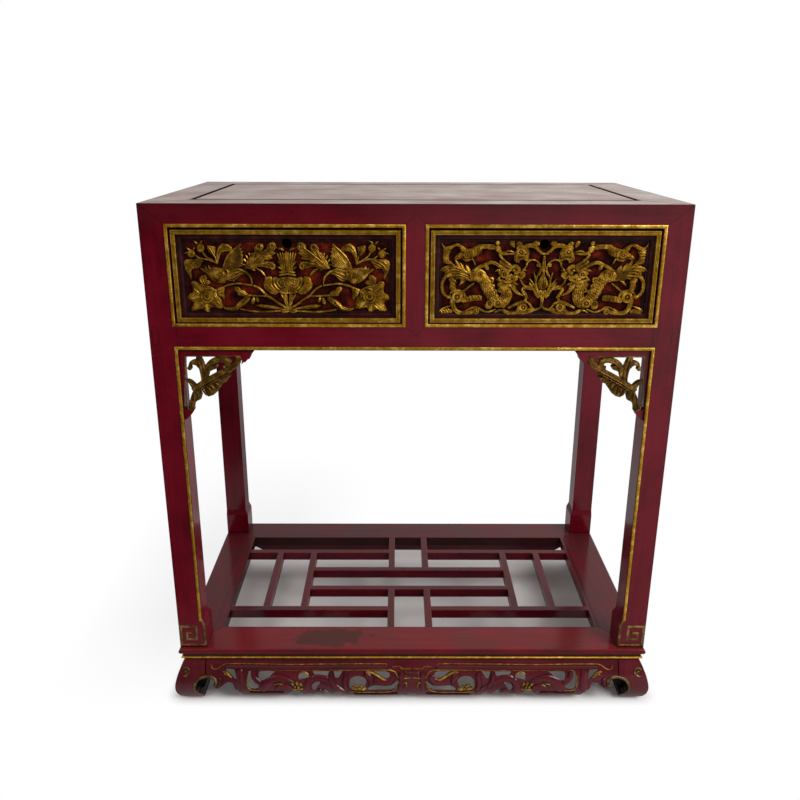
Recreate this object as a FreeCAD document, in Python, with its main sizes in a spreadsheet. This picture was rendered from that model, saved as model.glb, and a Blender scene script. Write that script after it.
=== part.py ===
import FreeCAD, Part
import Sketcher
from FreeCAD import Vector
import math
import os
import re

# Altar table of lacquered and gilded wood: a case with two drawers on four square legs,
# standing on a low shelf frame with an open lattice, four scroll feet and carved aprons.
# Millimetres. X runs to the right, Y to the back, Z up. The origin is under the middle of
# the table, on the floor.

# Overall sizes
sizes = {
    "table_width": 840,
    "table_depth": 480,
    "base_height": 106,
    "case_height": 784,
    "front_overhang": 11,
    "rear_overhang": 0,
    "side_overhang": 1.5,
}

# Legs: square posts that step out to a block on the shelf frame
sizes.update({
    "leg_width": 43.5,
    "leg_block_width": 48.5,
    "leg_block_height": 45,
    "leg_shoulder_height": 11,
    "leg_tenon_width": 20,
    "leg_tenon_length": 14,
    "leg_tenon_inset": 12,
})

# Case rails, stile and the through tenons of the side rails
sizes.update({
    "top_rail_height": 36,
    "top_rail_width": 72,
    "opening_height": 148,
    "lower_rail_height": 44,
    "lower_rail_depth": 36,
    "rail_tenon_length": 22,
    "rail_tenon_thickness": 12,
    "rail_tenon_inset": 14,
    "rail_tenon_trim": 7,
    "side_tenon_inset": 4,
    "side_tenon_thickness": 9.5,
    "stile_width": 41.6,
    "stile_depth": 24,
})

# Table top panel and its battens
sizes.update({
    "panel_thickness": 14,
    "panel_tongue_thickness": 5,
    "panel_tongue_width": 8,
    "panel_gap": 0.4,
    "batten_width": 45,
    "batten_height": 20,
    "batten_tenon_length": 10,
    "batten_tenon_height": 10,
    "batten_offset_share": 0.35714,
})

# Side and back panels of the case
sizes.update({
    "wall_thickness": 10,
    "wall_recess": 9,
    "wall_tongue": 6,
})

# Drawer runners
sizes.update({
    "runner_height": 15,
    "runner_seat": 26,
    "guide_height": 16,
    "guide_clearance": 1,
})

# Gilded beads on the edges of the openings
sizes.update({
    "bead_width": 6.5,
    "bead_proud": 1.6,
})

# Drawers
sizes.update({
    "drawer_side_clearance": 1.8,
    "drawer_top_clearance": 3,
    "drawer_lift": 0.5,
    "drawer_setback": 1,
    "front_thickness": 20,
    "front_ridge_width": 8,
    "front_cove_width": 12,
    "front_cove_step": 1.5,
    "front_recess": 10,
    "ground_rebate": 8,
    "carving_thickness": 7,
    "carving_margin": 3,
    "drawer_rear_room": 59,
    "drawer_wall": 12,
    "drawer_side_height": 122,
    "drawer_bottom_thickness": 6,
    "drawer_bottom_rise": 6,
    "drawer_bottom_groove": 5,
    "pull_hole_radius": 8,
    "pull_hole_drop": 22,
})

# Spandrel brackets under the case
sizes.update({
    "spandrel_span": 121,
    "spandrel_thickness": 14,
    "spandrel_setback": 4,
})

# Shelf frame, its waist bead and its lattice
sizes.update({
    "base_rail_width": 72,
    "base_rail_thickness": 20,
    "edge_round": 4,
    "edge_round_radius": 5,
    "ovolo_drop": 12,
    "ovolo_inset": 6.5,
    "ovolo_radius": 9,
    "waist_bead_height": 4.5,
    "waist_bead_drop": 14,
    "waist_bead_proud": 2.5,
    "lattice_bar_width": 13,
    "lattice_bar_height": 18,
    "lattice_shift": 3.3,
    "lattice_long_share": 0.4625,
    "lattice_spine_share": 0.15208,
    "lattice_outer_cross_share": 0.66905,
    "lattice_inner_cross_share": 0.49405,
    "lattice_centre_share": 0.08571,
})

# Feet and aprons share one swelling section
sizes.update({
    "foot_swell": 9.5,
    "foot_top_inset": 20,
    "foot_swell_drop": 54,
    "foot_sole_inset": 27,
    "foot_width": 55,
    "foot_sole_end": 51,
    "foot_face_radius": 110,
    "foot_hook_inset": 39,
    "foot_hook_rise": 20,
    "foot_hook_radius": 22,
    "foot_seam_drop": 38,
    "foot_arch_radius": 26,
    "apron_height": 80,
    "apron_low_inset": 13,
    "apron_thickness": 16,
})

doc = FreeCAD.newDocument("AltarTable")
sheet = doc.addObject("Spreadsheet::Sheet", "Sizes")
for row, (word, value) in enumerate(sizes.items(), 1):
    sheet.set(f"A{row}", word)
    sheet.set(f"B{row}", str(value))
    sheet.setAlias(f"B{row}", word)
doc.recompute()

size_words = re.compile(r"\b(" + "|".join(sizes) + r")\b")
nodes = {}


def refer(expression):
    """Points every size word of an expression at its cell in the sheet."""
    return size_words.sub(r"Sizes.\1", expression)


def measure(expression):
    """The present value of an expression in millimetres."""
    return float(sheet.evalExpression(expression))


def keep(label, thing):
    """Names a finished piece, which gets its own file."""
    thing.Label = label
    nodes[label] = thing
    return thing


def box(name, x, y, z):
    """A rectangular block between low and high places along each axis."""
    block = doc.addObject("Part::Box", name)
    for (low, high), length, axis in zip((x, y, z), ("Length", "Width", "Height"), "xyz"):
        block.setExpression(length, refer(f"({high}) - ({low})"))
        block.setExpression(f"Placement.Base.{axis}", refer(low))
    return block


def arc_centre(start, end, radius, side):
    """Centre of a shallow arc that bulges to the left of its chord for side 1."""
    chord = end - start
    middle = (start + end) / 2
    left = Vector(-chord.y, chord.x, 0).normalize()
    rise = math.sqrt(max(radius ** 2 - chord.Length ** 2 / 4, 0))
    return middle - left * rise * side


def draw_loop(sketch, corners):
    """Draws one closed outline. A corner is (u, v), or (u, v, radius, side) where an arc leaves it."""
    first = len(sketch.Geometry)
    places = [Vector(measure(corner[0]), measure(corner[1]), 0) for corner in corners]
    geometry = []
    ends = []
    for index, corner in enumerate(corners):
        start = places[index]
        end = places[(index + 1) % len(corners)]
        if len(corner) == 2:
            geometry.append(Part.LineSegment(start, end))
            ends.append((1, 2))
            continue
        radius, side = measure(corner[2]), corner[3]
        centre = arc_centre(start, end, radius, side)
        turn = [math.atan2(place.y - centre.y, place.x - centre.x) for place in (start, end)]
        if side > 0:
            turn.reverse()
        if turn[1] < turn[0]:
            turn[1] += 2 * math.pi
        circle = Part.Circle(centre, Vector(0, 0, 1), radius)
        geometry.append(Part.ArcOfCircle(circle, turn[0], turn[1]))
        ends.append((2, 1) if side > 0 else (1, 2))
    sketch.addGeometry(geometry, False)
    rules = []
    bindings = {}
    for index, corner in enumerate(corners):
        following = (index + 1) % len(corners)
        edge = first + index
        rules.append(Sketcher.Constraint("Coincident", edge, ends[index][1],
                                         first + following, ends[following][0]))
        for kind, place, expression in (("DistanceX", places[index].x, corner[0]),
                                        ("DistanceY", places[index].y, corner[1])):
            bindings[len(rules)] = expression
            rules.append(Sketcher.Constraint(kind, -1, 1, edge, ends[index][0], place))
        if len(corner) > 2:
            bindings[len(rules)] = corner[2]
            rules.append(Sketcher.Constraint("Radius", edge, measure(corner[2])))
    numbers = sketch.addConstraint(rules)
    for rule, expression in bindings.items():
        sketch.setExpression(f"Constraints[{numbers[rule]}]", refer(expression))


def prism(name, plane, loops, low, high):
    """A body padded from closed outlines on a plane, between two places along its normal."""
    body = doc.addObject("PartDesign::Body", name)
    sketch = body.newObject("Sketcher::SketchObject", name + "Outline")
    faces = [face for face in body.Origin.OriginFeatures if face.Role == plane + "_Plane"]
    sketch.AttachmentSupport = [(faces[0], "")]
    sketch.MapMode = "FlatFace"
    start = f"-({high})" if plane == "XZ" else low
    sketch.setExpression(".AttachmentOffset.Base.z", refer(start))
    for loop in loops:
        draw_loop(sketch, loop)
    pad = body.newObject("PartDesign::Pad", name + "Pad")
    pad.Profile = sketch
    pad.setExpression("Length", refer(f"({high}) - ({low})"))
    sketch.Visibility = False
    return body


def pierced_board(name, plane, loops, low, high):
    """A pierced board: its scalloped outline and windows have too many corners for a sketch."""
    start, end = measure(low), measure(high)
    across, along = Vector(1, 0, 0), Vector(0, 1, 0)
    if plane != "XZ":
        across, along = along, across
    wires = []
    for loop in loops:
        corners = [along * start + across * measure(u) + Vector(0, 0, measure(v)) for u, v in loop]
        wires.append(Part.makePolygon(corners + corners[:1]))
    outline = Part.makeFace(wires, "Part::FaceMakerBullseye")
    thing = doc.addObject("Part::Feature", name)
    thing.Shape = outline.extrude(along * (end - start))
    return thing


def join(name, pieces):
    """Fuses several shapes."""
    union = doc.addObject("Part::MultiFuse", name)
    union.Shapes = pieces
    return union


def cut(name, base, tools):
    """Takes the tools away from the base."""
    result = doc.addObject("Part::Cut", name)
    result.Base = base
    result.Tool = tools[0] if len(tools) == 1 else join(name + "Tools", tools)
    return result


def meet(name, one, other):
    """Keeps what two shapes share."""
    result = doc.addObject("Part::Common", name)
    result.Base = one
    result.Tool = other
    return result


def rectangle(x, z):
    """Corners of a rectangular outline."""
    return [(x[0], z[0]), (x[1], z[0]), (x[1], z[1]), (x[0], z[1])]


def span(side, inner, outer):
    """Low and high places of a stretch measured from the middle towards one side."""
    if side < 0:
        return f"-({outer})", f"-({inner})"
    return inner, outer


# Places that the pieces share
half_width = "table_width / 2"
front = "(front_overhang - rear_overhang - table_depth) / 2"
rear = "(front_overhang - rear_overhang + table_depth) / 2"
shelf = "base_height"
top = "(base_height + case_height)"
opening_top = f"({top} - top_rail_height)"
opening_bottom = f"({opening_top} - opening_height)"
rail_bottom = f"({opening_bottom} - lower_rail_height)"
leg_inner = f"({half_width} - leg_width)"
base_half_width = f"({half_width} + side_overhang)"
base_half_depth = "((table_depth + front_overhang + rear_overhang) / 2)"
sides = {"left": -1, "right": 1}
ends_of_depth = {"front": -1, "rear": 1}


def depth_place(end, inset):
    """A place measured inwards from the legs' front or rear face."""
    return f"({front} + {inset})" if end < 0 else f"({rear} - ({inset}))"


def depth_span(end, near, far):
    """Low and high places of a stretch measured inwards from the legs' front or rear face."""
    if end < 0:
        return depth_place(end, near), depth_place(end, far)
    return depth_place(end, far), depth_place(end, near)


# Lower rails of the case. The long rails have blind tenons, and the side rails' tenons
# come through the legs.
lower_rails = {}
rail_z = (rail_bottom, opening_bottom)
tenon_z = (f"{rail_bottom} + rail_tenon_trim", f"{opening_bottom} - rail_tenon_trim")
for end_name, end in ends_of_depth.items():
    rail = box(f"{end_name}RailBar", (f"-{leg_inner}", leg_inner),
               depth_span(end, "0", "lower_rail_depth"), rail_z)
    tenon = box(f"{end_name}RailTenon",
                (f"-{leg_inner} - rail_tenon_length", f"{leg_inner} + rail_tenon_length"),
                depth_span(end, "rail_tenon_inset", "rail_tenon_inset + rail_tenon_thickness"), tenon_z)
    lower_rails[end_name] = join(f"{end_name}LowerRail", [rail, tenon])
for side_name, side in sides.items():
    rail = box(f"{side_name}RailBar", span(side, f"{half_width} - lower_rail_depth", half_width),
               (f"{front} + leg_width", f"{rear} - leg_width"), rail_z)
    tenon = box(f"{side_name}RailTenon",
                span(side, f"{half_width} - side_tenon_inset - side_tenon_thickness",
                     f"{half_width} - side_tenon_inset"), (front, rear), tenon_z)
    lower_rails[side_name] = join(f"{side_name}LowerRail", [rail, tenon])

# Side and back panels, tongued into the rails and legs
wall_z = (f"{opening_bottom} - wall_tongue", f"{opening_top} + wall_tongue")
walls = {}
for side_name, side in sides.items():
    walls[side_name] = box(f"{side_name}Wall",
                           span(side, f"{half_width} - wall_recess - wall_thickness",
                                f"{half_width} - wall_recess"),
                           (f"{front} + leg_width - wall_tongue", f"{rear} - leg_width + wall_tongue"),
                           wall_z)
    keep(f"side_panel_{side_name}", walls[side_name])
walls["rear"] = box("RearWall", (f"-{leg_inner} - wall_tongue", f"{leg_inner} + wall_tongue"),
                    depth_span(1, "wall_recess", "wall_recess + wall_thickness"), wall_z)
keep("back_panel", walls["rear"])

# Legs: the same outline seen from the front and from the side gives the stepped block at
# the foot and the three-way mitre at the top
leg_corners = [("0", shelf), ("leg_block_width", shelf),
               ("leg_block_width", f"{shelf} + leg_block_height"),
               ("leg_width", f"{shelf} + leg_block_height + leg_shoulder_height"),
               ("leg_width", opening_top), ("0", top)]
posts = {}
leg_tenons = []
for end_name, end in ends_of_depth.items():
    for side_name, side in sides.items():
        name = end_name + side_name.title()
        face = [(f"{side} * ({half_width} - {inset})", height) for inset, height in leg_corners]
        flank = [(depth_place(end, inset), height) for inset, height in leg_corners]
        from_front = prism(name + "Face", "XZ", [face], *depth_span(end, "0", "leg_block_width"))
        from_side = prism(name + "Flank", "YZ", [flank],
                          *span(side, f"{half_width} - leg_block_width", half_width))
        posts[end_name, side_name] = meet(name + "Post", from_front, from_side)
        tenon = box(name + "Tenon",
                    span(side, f"{half_width} - leg_tenon_inset - leg_tenon_width",
                         f"{half_width} - leg_tenon_inset"),
                    depth_span(end, "leg_tenon_inset", "leg_tenon_inset + leg_tenon_width"),
                    (f"{shelf} - leg_tenon_length", shelf))
        leg_tenons.append(tenon)
        whole = join(name + "Whole", [posts[end_name, side_name], tenon])
        housed = [lower_rails[end_name], lower_rails[side_name], walls[side_name]]
        if end > 0:
            housed.append(walls["rear"])
        keep(f"leg_{end_name}_{side_name}", cut(name + "Leg", whole, housed))

# Centre stile with arrow shoulders that point into both rails
half_stile = "stile_width / 2"
stile = prism("StileBody", "XZ",
              [[(f"-{half_stile}", opening_bottom), ("0", f"{opening_bottom} - {half_stile}"),
                (half_stile, opening_bottom), (half_stile, opening_top),
                ("0", f"{opening_top} + {half_stile}"), (f"-{half_stile}", opening_top)]],
              front, f"{front} + stile_depth")
keep("centre_stile", stile)
keep("lower_rail_front", cut("FrontLowerRailCut", lower_rails["front"], [stile]))
for side_name in sides:
    rail = cut(f"{side_name}LowerRailCut", lower_rails[side_name], [walls[side_name]])
    keep(f"lower_rail_{side_name}", rail)
keep("lower_rail_rear", cut("RearLowerRailCut", lower_rails["rear"], [walls["rear"]]))

# Battens under the table top, tenoned into the front and rear top rails
batten_top = f"{top} - panel_thickness"
battens = []
for side_name, side in sides.items():
    across = span(side, "table_width / 2 * batten_offset_share - batten_width / 2",
                  "table_width / 2 * batten_offset_share + batten_width / 2")
    bar = box(f"{side_name}BattenBar", across,
              (f"{front} + top_rail_width", f"{rear} - top_rail_width"),
              (f"{batten_top} - batten_height", batten_top))
    tenon = box(f"{side_name}BattenTenon", across,
                (f"{front} + top_rail_width - batten_tenon_length",
                 f"{rear} - top_rail_width + batten_tenon_length"),
                (f"{batten_top} - batten_height / 2 - batten_tenon_height / 2",
                 f"{batten_top} - batten_height / 2 + batten_tenon_height / 2"))
    battens.append(keep(f"top_batten_{side_name}", join(f"{side_name}Batten", [bar, tenon])))

# Table top panel: flush with the rails, with a tongue all round
field = box("PanelField",
            (f"-({half_width} - top_rail_width - panel_gap)", f"{half_width} - top_rail_width - panel_gap"),
            (f"{front} + top_rail_width + panel_gap", f"{rear} - top_rail_width - panel_gap"),
            (f"{top} - panel_thickness", top))
tongue_z = (f"{top} - panel_thickness", f"{top} - panel_thickness + panel_tongue_thickness")
tongue_reach = "(top_rail_width - panel_tongue_width)"
tongue = box("PanelTongue",
             (f"-({half_width} - {tongue_reach})", f"{half_width} - {tongue_reach}"),
             (f"{front} + {tongue_reach}", f"{rear} - {tongue_reach}"), tongue_z)
groove = box("PanelGroove",
             (f"-({half_width} - {tongue_reach} + panel_gap)", f"{half_width} - {tongue_reach} + panel_gap"),
             (f"{front} + {tongue_reach} - panel_gap", f"{rear} - {tongue_reach} + panel_gap"), tongue_z)
keep("top_panel", join("TopPanel", [field, tongue]))

# Top rails, mitred in plan and over the legs
top_z = (opening_top, top)
inner_x = f"({half_width} - top_rail_width)"
for end_name, end in ends_of_depth.items():
    outline = [(f"-({half_width})", depth_place(end, "0")), (half_width, depth_place(end, "0")),
               (inner_x, depth_place(end, "top_rail_width")),
               (f"-{inner_x}", depth_place(end, "top_rail_width"))]
    bar = prism(f"{end_name}TopBar", "XY", [outline], *top_z)
    tools = [posts[end_name, "left"], posts[end_name, "right"], groove] + battens
    tools.append(stile if end < 0 else walls["rear"])
    keep(f"top_rail_{end_name}", cut(f"{end_name}TopRail", bar, tools))
for side_name, side in sides.items():
    outer = f"{side} * ({half_width})"
    inner = f"{side} * {inner_x}"
    outline = [(outer, front), (outer, rear), (inner, f"{rear} - top_rail_width"),
               (inner, f"{front} + top_rail_width")]
    bar = prism(f"{side_name}TopBar", "XY", [outline], *top_z)
    tools = [posts["front", side_name], posts["rear", side_name], groove, walls[side_name]]
    keep(f"top_rail_{side_name}", cut(f"{side_name}TopRail", bar, tools))

# Drawer runners: an angle on each side rail and a tee behind the stile
runner_z = (f"{opening_bottom} - runner_height", opening_bottom)
guide_z = (f"{opening_bottom} - runner_height", f"{opening_bottom} + guide_height")
drawer_outer = f"({leg_inner} - drawer_side_clearance)"
drawer_inner = f"({half_stile} + drawer_side_clearance)"
for side_name, side in sides.items():
    along = (f"{front} + leg_width", f"{rear} - leg_width")
    seat = box(f"{side_name}Seat",
               span(side, f"{leg_inner} - runner_seat", f"{half_width} - lower_rail_depth"), along, runner_z)
    guide = box(f"{side_name}Guide",
                span(side, f"{drawer_outer} + guide_clearance", f"{half_width} - lower_rail_depth"),
                along, guide_z)
    keep(f"drawer_runner_{side_name}", join(f"{side_name}Runner", [seat, guide]))
along = (f"{front} + lower_rail_depth", f"{rear} - lower_rail_depth")
seat = box("CentreSeat", (f"-{half_stile} - runner_seat", f"{half_stile} + runner_seat"), along, runner_z)
guide = box("CentreGuide", (f"-{drawer_inner} + guide_clearance", f"{drawer_inner} - guide_clearance"),
            along, guide_z)
keep("drawer_runner_centre", join("CentreRunner", [seat, guide]))

# Gilded beads round the two drawer openings
bead_y = (f"{front} - bead_proud", front)
rings = []
for side_name, side in sides.items():
    inside = rectangle(span(side, half_stile, leg_inner), (opening_bottom, opening_top))
    outside = rectangle(span(side, f"{half_stile} - bead_width", f"{leg_inner} + bead_width"),
                        (f"{opening_bottom} - bead_width", f"{opening_top} + bead_width"))
    rings.append(prism(f"{side_name}OpeningBead", "XZ", [outside, inside], *bead_y))
keep("drawer_opening_beads", join("OpeningBeads", rings))


# Gilded bead round the big opening: up one leg, under the rail and down the other leg
def arch_line(offset):
    """Corners of the left half of the arch, moved outwards by an offset."""
    block = f"-({half_width} - leg_block_width + {offset})"
    shaft = f"-({leg_inner} + {offset})"
    return [(block, shelf), (block, f"{shelf} + leg_block_height"),
            (shaft, f"{shelf} + leg_block_height + leg_shoulder_height"),
            (shaft, f"{rail_bottom} + {offset}")]


def mirrored(corners):
    """The same corners on the other side, in reverse order."""
    return [(f"-({x})", z) for x, z in reversed(corners)]


inner_line = arch_line("0")
outer_line = arch_line("bead_width")
arch = outer_line + mirrored(outer_line) + list(reversed(inner_line + mirrored(inner_line)))
keep("arch_bead", prism("ArchBead", "XZ", [arch], *bead_y))

# Pierced spandrel brackets in the upper corners. Shares of the span, across from the leg
# and down from the rail.
spandrel_outline_shares = [
    (0, 0), (1, 0), (0.93, 0.09), (0.91, 0.14), (0.87, 0.15), (0.81, 0.18), (0.73, 0.29), (0.65, 0.34),
    (0.64, 0.39), (0.6, 0.44), (0.55, 0.45), (0.49, 0.55), (0.44, 0.61), (0.39, 0.655), (0.34, 0.67),
    (0.285, 0.655), (0.235, 0.61), (0.226, 0.726), (0.184, 0.734), (0.142, 0.755), (0.121, 0.835),
    (0.09, 0.9), (0.06, 0.95), (0, 1)]
spandrel_window_shares = [
    [(0.08, 0.11), (0.18, 0.11), (0.22, 0.15), (0.14, 0.16), (0.08, 0.18)],
    [(0.34, 0.11), (0.43, 0.11), (0.38, 0.15), (0.35, 0.13)],
    [(0.14, 0.27), (0.17, 0.24), (0.22, 0.25), (0.24, 0.3), (0.23, 0.37), (0.21, 0.44), (0.18, 0.43),
     (0.13, 0.39), (0.08, 0.38), (0.07, 0.31), (0.12, 0.3)],
    [(0.47, 0.27), (0.47, 0.34), (0.4, 0.37), (0.33, 0.4), (0.33, 0.37), (0.37, 0.3), (0.41, 0.27)],
    [(0.08, 0.49), (0.11, 0.53), (0.13, 0.58), (0.09, 0.65), (0.08, 0.58)],
    [(0.49, 0.17), (0.56, 0.17), (0.58, 0.23), (0.53, 0.27), (0.48, 0.24)],
    [(0.64, 0.11), (0.71, 0.11), (0.72, 0.18), (0.68, 0.25), (0.64, 0.2)]]
for side_name, side in sides.items():
    loops = [[(f"{side} * ({leg_inner} - {across} * spandrel_span)",
               f"{rail_bottom} - {down} * spandrel_span") for across, down in loop]
             for loop in [spandrel_outline_shares] + spandrel_window_shares]
    keep(f"spandrel_{side_name}",
         pierced_board(f"{side_name}Spandrel", "XZ", loops, f"{front} + spandrel_setback",
               f"{front} + spandrel_setback + spandrel_thickness"))

# Drawers. The front is a moulded frame round a ground board that carries the carving.
drawer_low = f"({opening_bottom} + drawer_lift)"
drawer_high = f"({opening_top} - drawer_top_clearance)"
face_y = f"({front} + drawer_setback)"
ground_y = f"({face_y} + front_recess)"
back_y = f"({face_y} + front_thickness)"
drawer_end = f"({rear} - drawer_rear_room)"
hole_z = f"{drawer_high} - pull_hole_drop"
front_border = "(front_ridge_width + front_cove_width)"
side_top = f"({drawer_low} + drawer_side_height)"
bottom_low = f"({drawer_low} + drawer_bottom_rise)"
bottom_high = f"({bottom_low} + drawer_bottom_thickness)"


def inset_box(name, x, z, inset, y):
    """A block inside the drawer front's outline, drawn in by an inset on all four sides."""
    drawn_in = [(f"{low} + {inset}", f"{high} - ({inset})") for low, high in (x, z)]
    return box(name, drawn_in[0], y, drawn_in[1])


for side_name, side in sides.items():
    x = span(side, drawer_inner, drawer_outer)
    z = (drawer_low, drawer_high)
    middle = f"{side} * ({drawer_inner} + {drawer_outer}) / 2"
    hole = doc.addObject("Part::Cylinder", f"{side_name}PullHole")
    hole.Placement.Rotation = FreeCAD.Rotation(Vector(1, 0, 0), -90)
    hole.setExpression("Radius", refer("pull_hole_radius"))
    hole.setExpression("Height", refer("front_thickness"))
    for axis, place in zip("xyz", (middle, face_y, hole_z)):
        hole.setExpression(f"Placement.Base.{axis}", refer(place))

    outer = inset_box(f"{side_name}FrontOuter", x, z, "0", (face_y, back_y))
    through = inset_box(f"{side_name}FrontThrough", x, z, front_border, (face_y, back_y))
    rebate = inset_box(f"{side_name}FrontRebate", x, z, f"{front_border} - ground_rebate",
                       (ground_y, back_y))
    cove = doc.addObject("Part::Wedge", f"{side_name}FrontCove")
    cove_ends = (("", "front_ridge_width"), ("2", f"{front_border} - front_cove_step"))
    for mark, inset in cove_ends:
        for axis, stretch in (("X", x), ("Z", z)):
            cove.setExpression(f"{axis}{mark}min", refer(f"{stretch[0]} + {inset}"))
            cove.setExpression(f"{axis}{mark}max", refer(f"{stretch[1]} - ({inset})"))
    cove.setExpression("Ymin", refer(face_y))
    cove.setExpression("Ymax", refer(f"{ground_y} - front_cove_step"))
    frame = cut(f"{side_name}FrontFrame", outer, [through, rebate, cove, hole])
    keep(f"drawer_{side_name}_front_frame", frame)

    board = inset_box(f"{side_name}GroundBoard", x, z, f"{front_border} - ground_rebate",
                      (ground_y, back_y))
    keep(f"drawer_{side_name}_ground_board", cut(f"{side_name}Ground", board, [hole]))
    relief = inset_box(f"{side_name}Relief", x, z, f"{front_border} + carving_margin",
                       (f"{ground_y} - carving_thickness", ground_y))
    keep(f"drawer_{side_name}_carving", cut(f"{side_name}Carving", relief, [hole]))

    bottom = box(f"{side_name}Bottom", (f"{x[0]} + drawer_wall - drawer_bottom_groove",
                                        f"{x[1]} - drawer_wall + drawer_bottom_groove"),
                 (back_y, drawer_end), (bottom_low, bottom_high))
    keep(f"drawer_{side_name}_bottom", bottom)
    walls_x = {"outer": span(side, f"{drawer_outer} - drawer_wall", drawer_outer),
               "inner": span(side, drawer_inner, f"{drawer_inner} + drawer_wall")}
    for wall_name, wall_x in walls_x.items():
        wall = box(f"{side_name}Drawer{wall_name.title()}Wall", wall_x,
                   (back_y, drawer_end), (drawer_low, side_top))
        keep(f"drawer_{side_name}_{wall_name}_side",
             cut(f"{side_name}Drawer{wall_name.title()}Side", wall, [bottom]))
    back = box(f"{side_name}DrawerBack", (f"{x[0]} + drawer_wall", f"{x[1]} - drawer_wall"),
               (f"{drawer_end} - drawer_wall", drawer_end),
               (bottom_high, side_top))
    keep(f"drawer_{side_name}_back", back)

# Shelf frame: four mitred rails with a rounded edge over a waist
rail_low = f"({shelf} - base_rail_thickness)"
rail_widths = {"front": "base_rail_width", "rear": "base_rail_width",
               "left": "(base_rail_width - lattice_shift)",
               "right": "(base_rail_width + lattice_shift)"}


def rail_section(width):
    """Section of a rail of the shelf frame, from its outer edge inwards."""
    return [("0", f"{shelf} - edge_round", "edge_round_radius", 1), ("edge_round", shelf),
            (width, shelf), (width, rail_low), ("ovolo_inset", rail_low),
            ("ovolo_inset", f"{shelf} - ovolo_drop", "ovolo_radius", 1)]


def turned(corners, place):
    """A section drawn from the outer edge inwards, for the side where that runs the other way."""
    turned_corners = []
    for corner in corners:
        turned_corners.append((place(corner[0]), corner[1]) + tuple(corner[2:3]) +
                              tuple(-bulge for bulge in corner[3:]))
    return turned_corners


def placed(corners, sign, outer):
    """Places a section drawn inwards from the outer edge at the low or the high side."""
    if sign < 0:
        return [(f"-({outer}) + {corner[0]}",) + tuple(corner[1:]) for corner in corners]
    return turned(corners, lambda inset: f"{outer} - ({inset})")


def frame_plan(kind, sign):
    """Plan outline of one mitred member of the shelf frame."""
    corner_x, corner_y = base_half_width, base_half_depth
    left_x = f"-({corner_x} - {rail_widths['left']})"
    right_x = f"({corner_x} - {rail_widths['right']})"
    inner_y = f"({corner_y} - base_rail_width)"
    if kind == "long":
        return [(f"-{corner_x}", f"{sign} * {corner_y}"), (corner_x, f"{sign} * {corner_y}"),
                (right_x, f"{sign} * {inner_y}"), (left_x, f"{sign} * {inner_y}")]
    inner_x = left_x if sign < 0 else right_x
    return [(f"{sign} * {corner_x}", f"-{corner_y}"), (f"{sign} * {corner_x}", corner_y),
            (inner_x, inner_y), (inner_x, f"-{inner_y}")]


base_z = (rail_low, shelf)
base_members = [(name, "long", sign) for name, sign in ends_of_depth.items()]
base_members += [(name, "short", sign) for name, sign in sides.items()]
for name, kind, sign in base_members:
    section = rail_section(rail_widths[name])
    if kind == "long":
        moulding = prism(f"{name}BaseSection", "YZ", [placed(section, sign, base_half_depth)],
                         f"-{base_half_width}", base_half_width)
    else:
        moulding = prism(f"{name}BaseSection", "XZ", [placed(section, sign, base_half_width)],
                         f"-{base_half_depth}", base_half_depth)
    plan = prism(f"{name}BasePlan", "XY", [frame_plan(kind, sign)], *base_z)
    rail = meet(f"{name}BaseBar", moulding, plan)
    keep(f"base_rail_{name}", cut(f"{name}BaseRail", rail, leg_tenons))

# Gilded bead round the waist of the shelf frame
bead_low = f"{shelf} - waist_bead_drop - waist_bead_height"
bead_reach = "(ovolo_inset - waist_bead_proud)"
bead_outer = rectangle((f"-({base_half_width} - {bead_reach})", f"{base_half_width} - {bead_reach}"),
                       (f"-({base_half_depth} - {bead_reach})", f"{base_half_depth} - {bead_reach}"))
bead_inner = rectangle((f"-({base_half_width} - ovolo_inset)", f"{base_half_width} - ovolo_inset"),
                       (f"-({base_half_depth} - ovolo_inset)", f"{base_half_depth} - ovolo_inset"))
keep("waist_bead", prism("WaistBead", "XY", [bead_outer, bead_inner], bead_low,
                         f"{shelf} - waist_bead_drop"))

# Lattice of the shelf: flat bars flush with the frame, laid out a little left of the middle
lattice_z = (f"{shelf} - lattice_bar_height", shelf)
half_bar = "lattice_bar_width / 2"
long_offset = "table_depth / 2 * lattice_long_share"
spine_offset = "table_depth / 2 * lattice_spine_share"
outer_cross_offset = "table_width / 2 * lattice_outer_cross_share"
inner_cross_offset = "table_width / 2 * lattice_inner_cross_share"
centre_offset = "table_width / 2 * lattice_centre_share"
inner_half_x = f"({base_half_width} - base_rail_width)"
inner_half_y = f"({base_half_depth} - base_rail_width)"


def bar_across(sign, offset):
    """Low and high sides of a bar's width about its offset from the middle."""
    return span(sign, f"{offset} - {half_bar}", f"{offset} + {half_bar}")


def lattice_pair(label, bars):
    """Two bars that lie alike and share one file."""
    pair = []
    for index, (x, y) in enumerate(bars):
        shifted = tuple(f"{place} - lattice_shift" for place in x)
        pair.append(box(f"{label}{index}", shifted, y, lattice_z))
    keep(label, join(label + "_pair", pair))


for end_name, end in ends_of_depth.items():
    long_y = bar_across(end, long_offset)
    lattice_pair(f"lattice_{end_name}_bars",
                 [(span(side, f"{centre_offset} + {half_bar}", inner_half_x), long_y)
                  for side in sides.values()])
    lattice_pair(f"lattice_centre_{end_name}_bars",
                 [(bar_across(side, centre_offset),
                   span(end, f"{spine_offset} + {half_bar}", inner_half_y))
                  for side in sides.values()])
for side_name, side in sides.items():
    between = (f"-({long_offset} - {half_bar})", f"{long_offset} - {half_bar}")
    lattice_pair(f"lattice_cross_{side_name}_bars",
                 [(bar_across(side, offset), between)
                  for offset in (outer_cross_offset, inner_cross_offset)])
spine_x = f"({inner_cross_offset} - {half_bar})"
lattice_pair("lattice_spine_bars",
             [((f"-{spine_x}", spine_x), bar_across(end, spine_offset))
              for end in ends_of_depth.values()])

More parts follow.
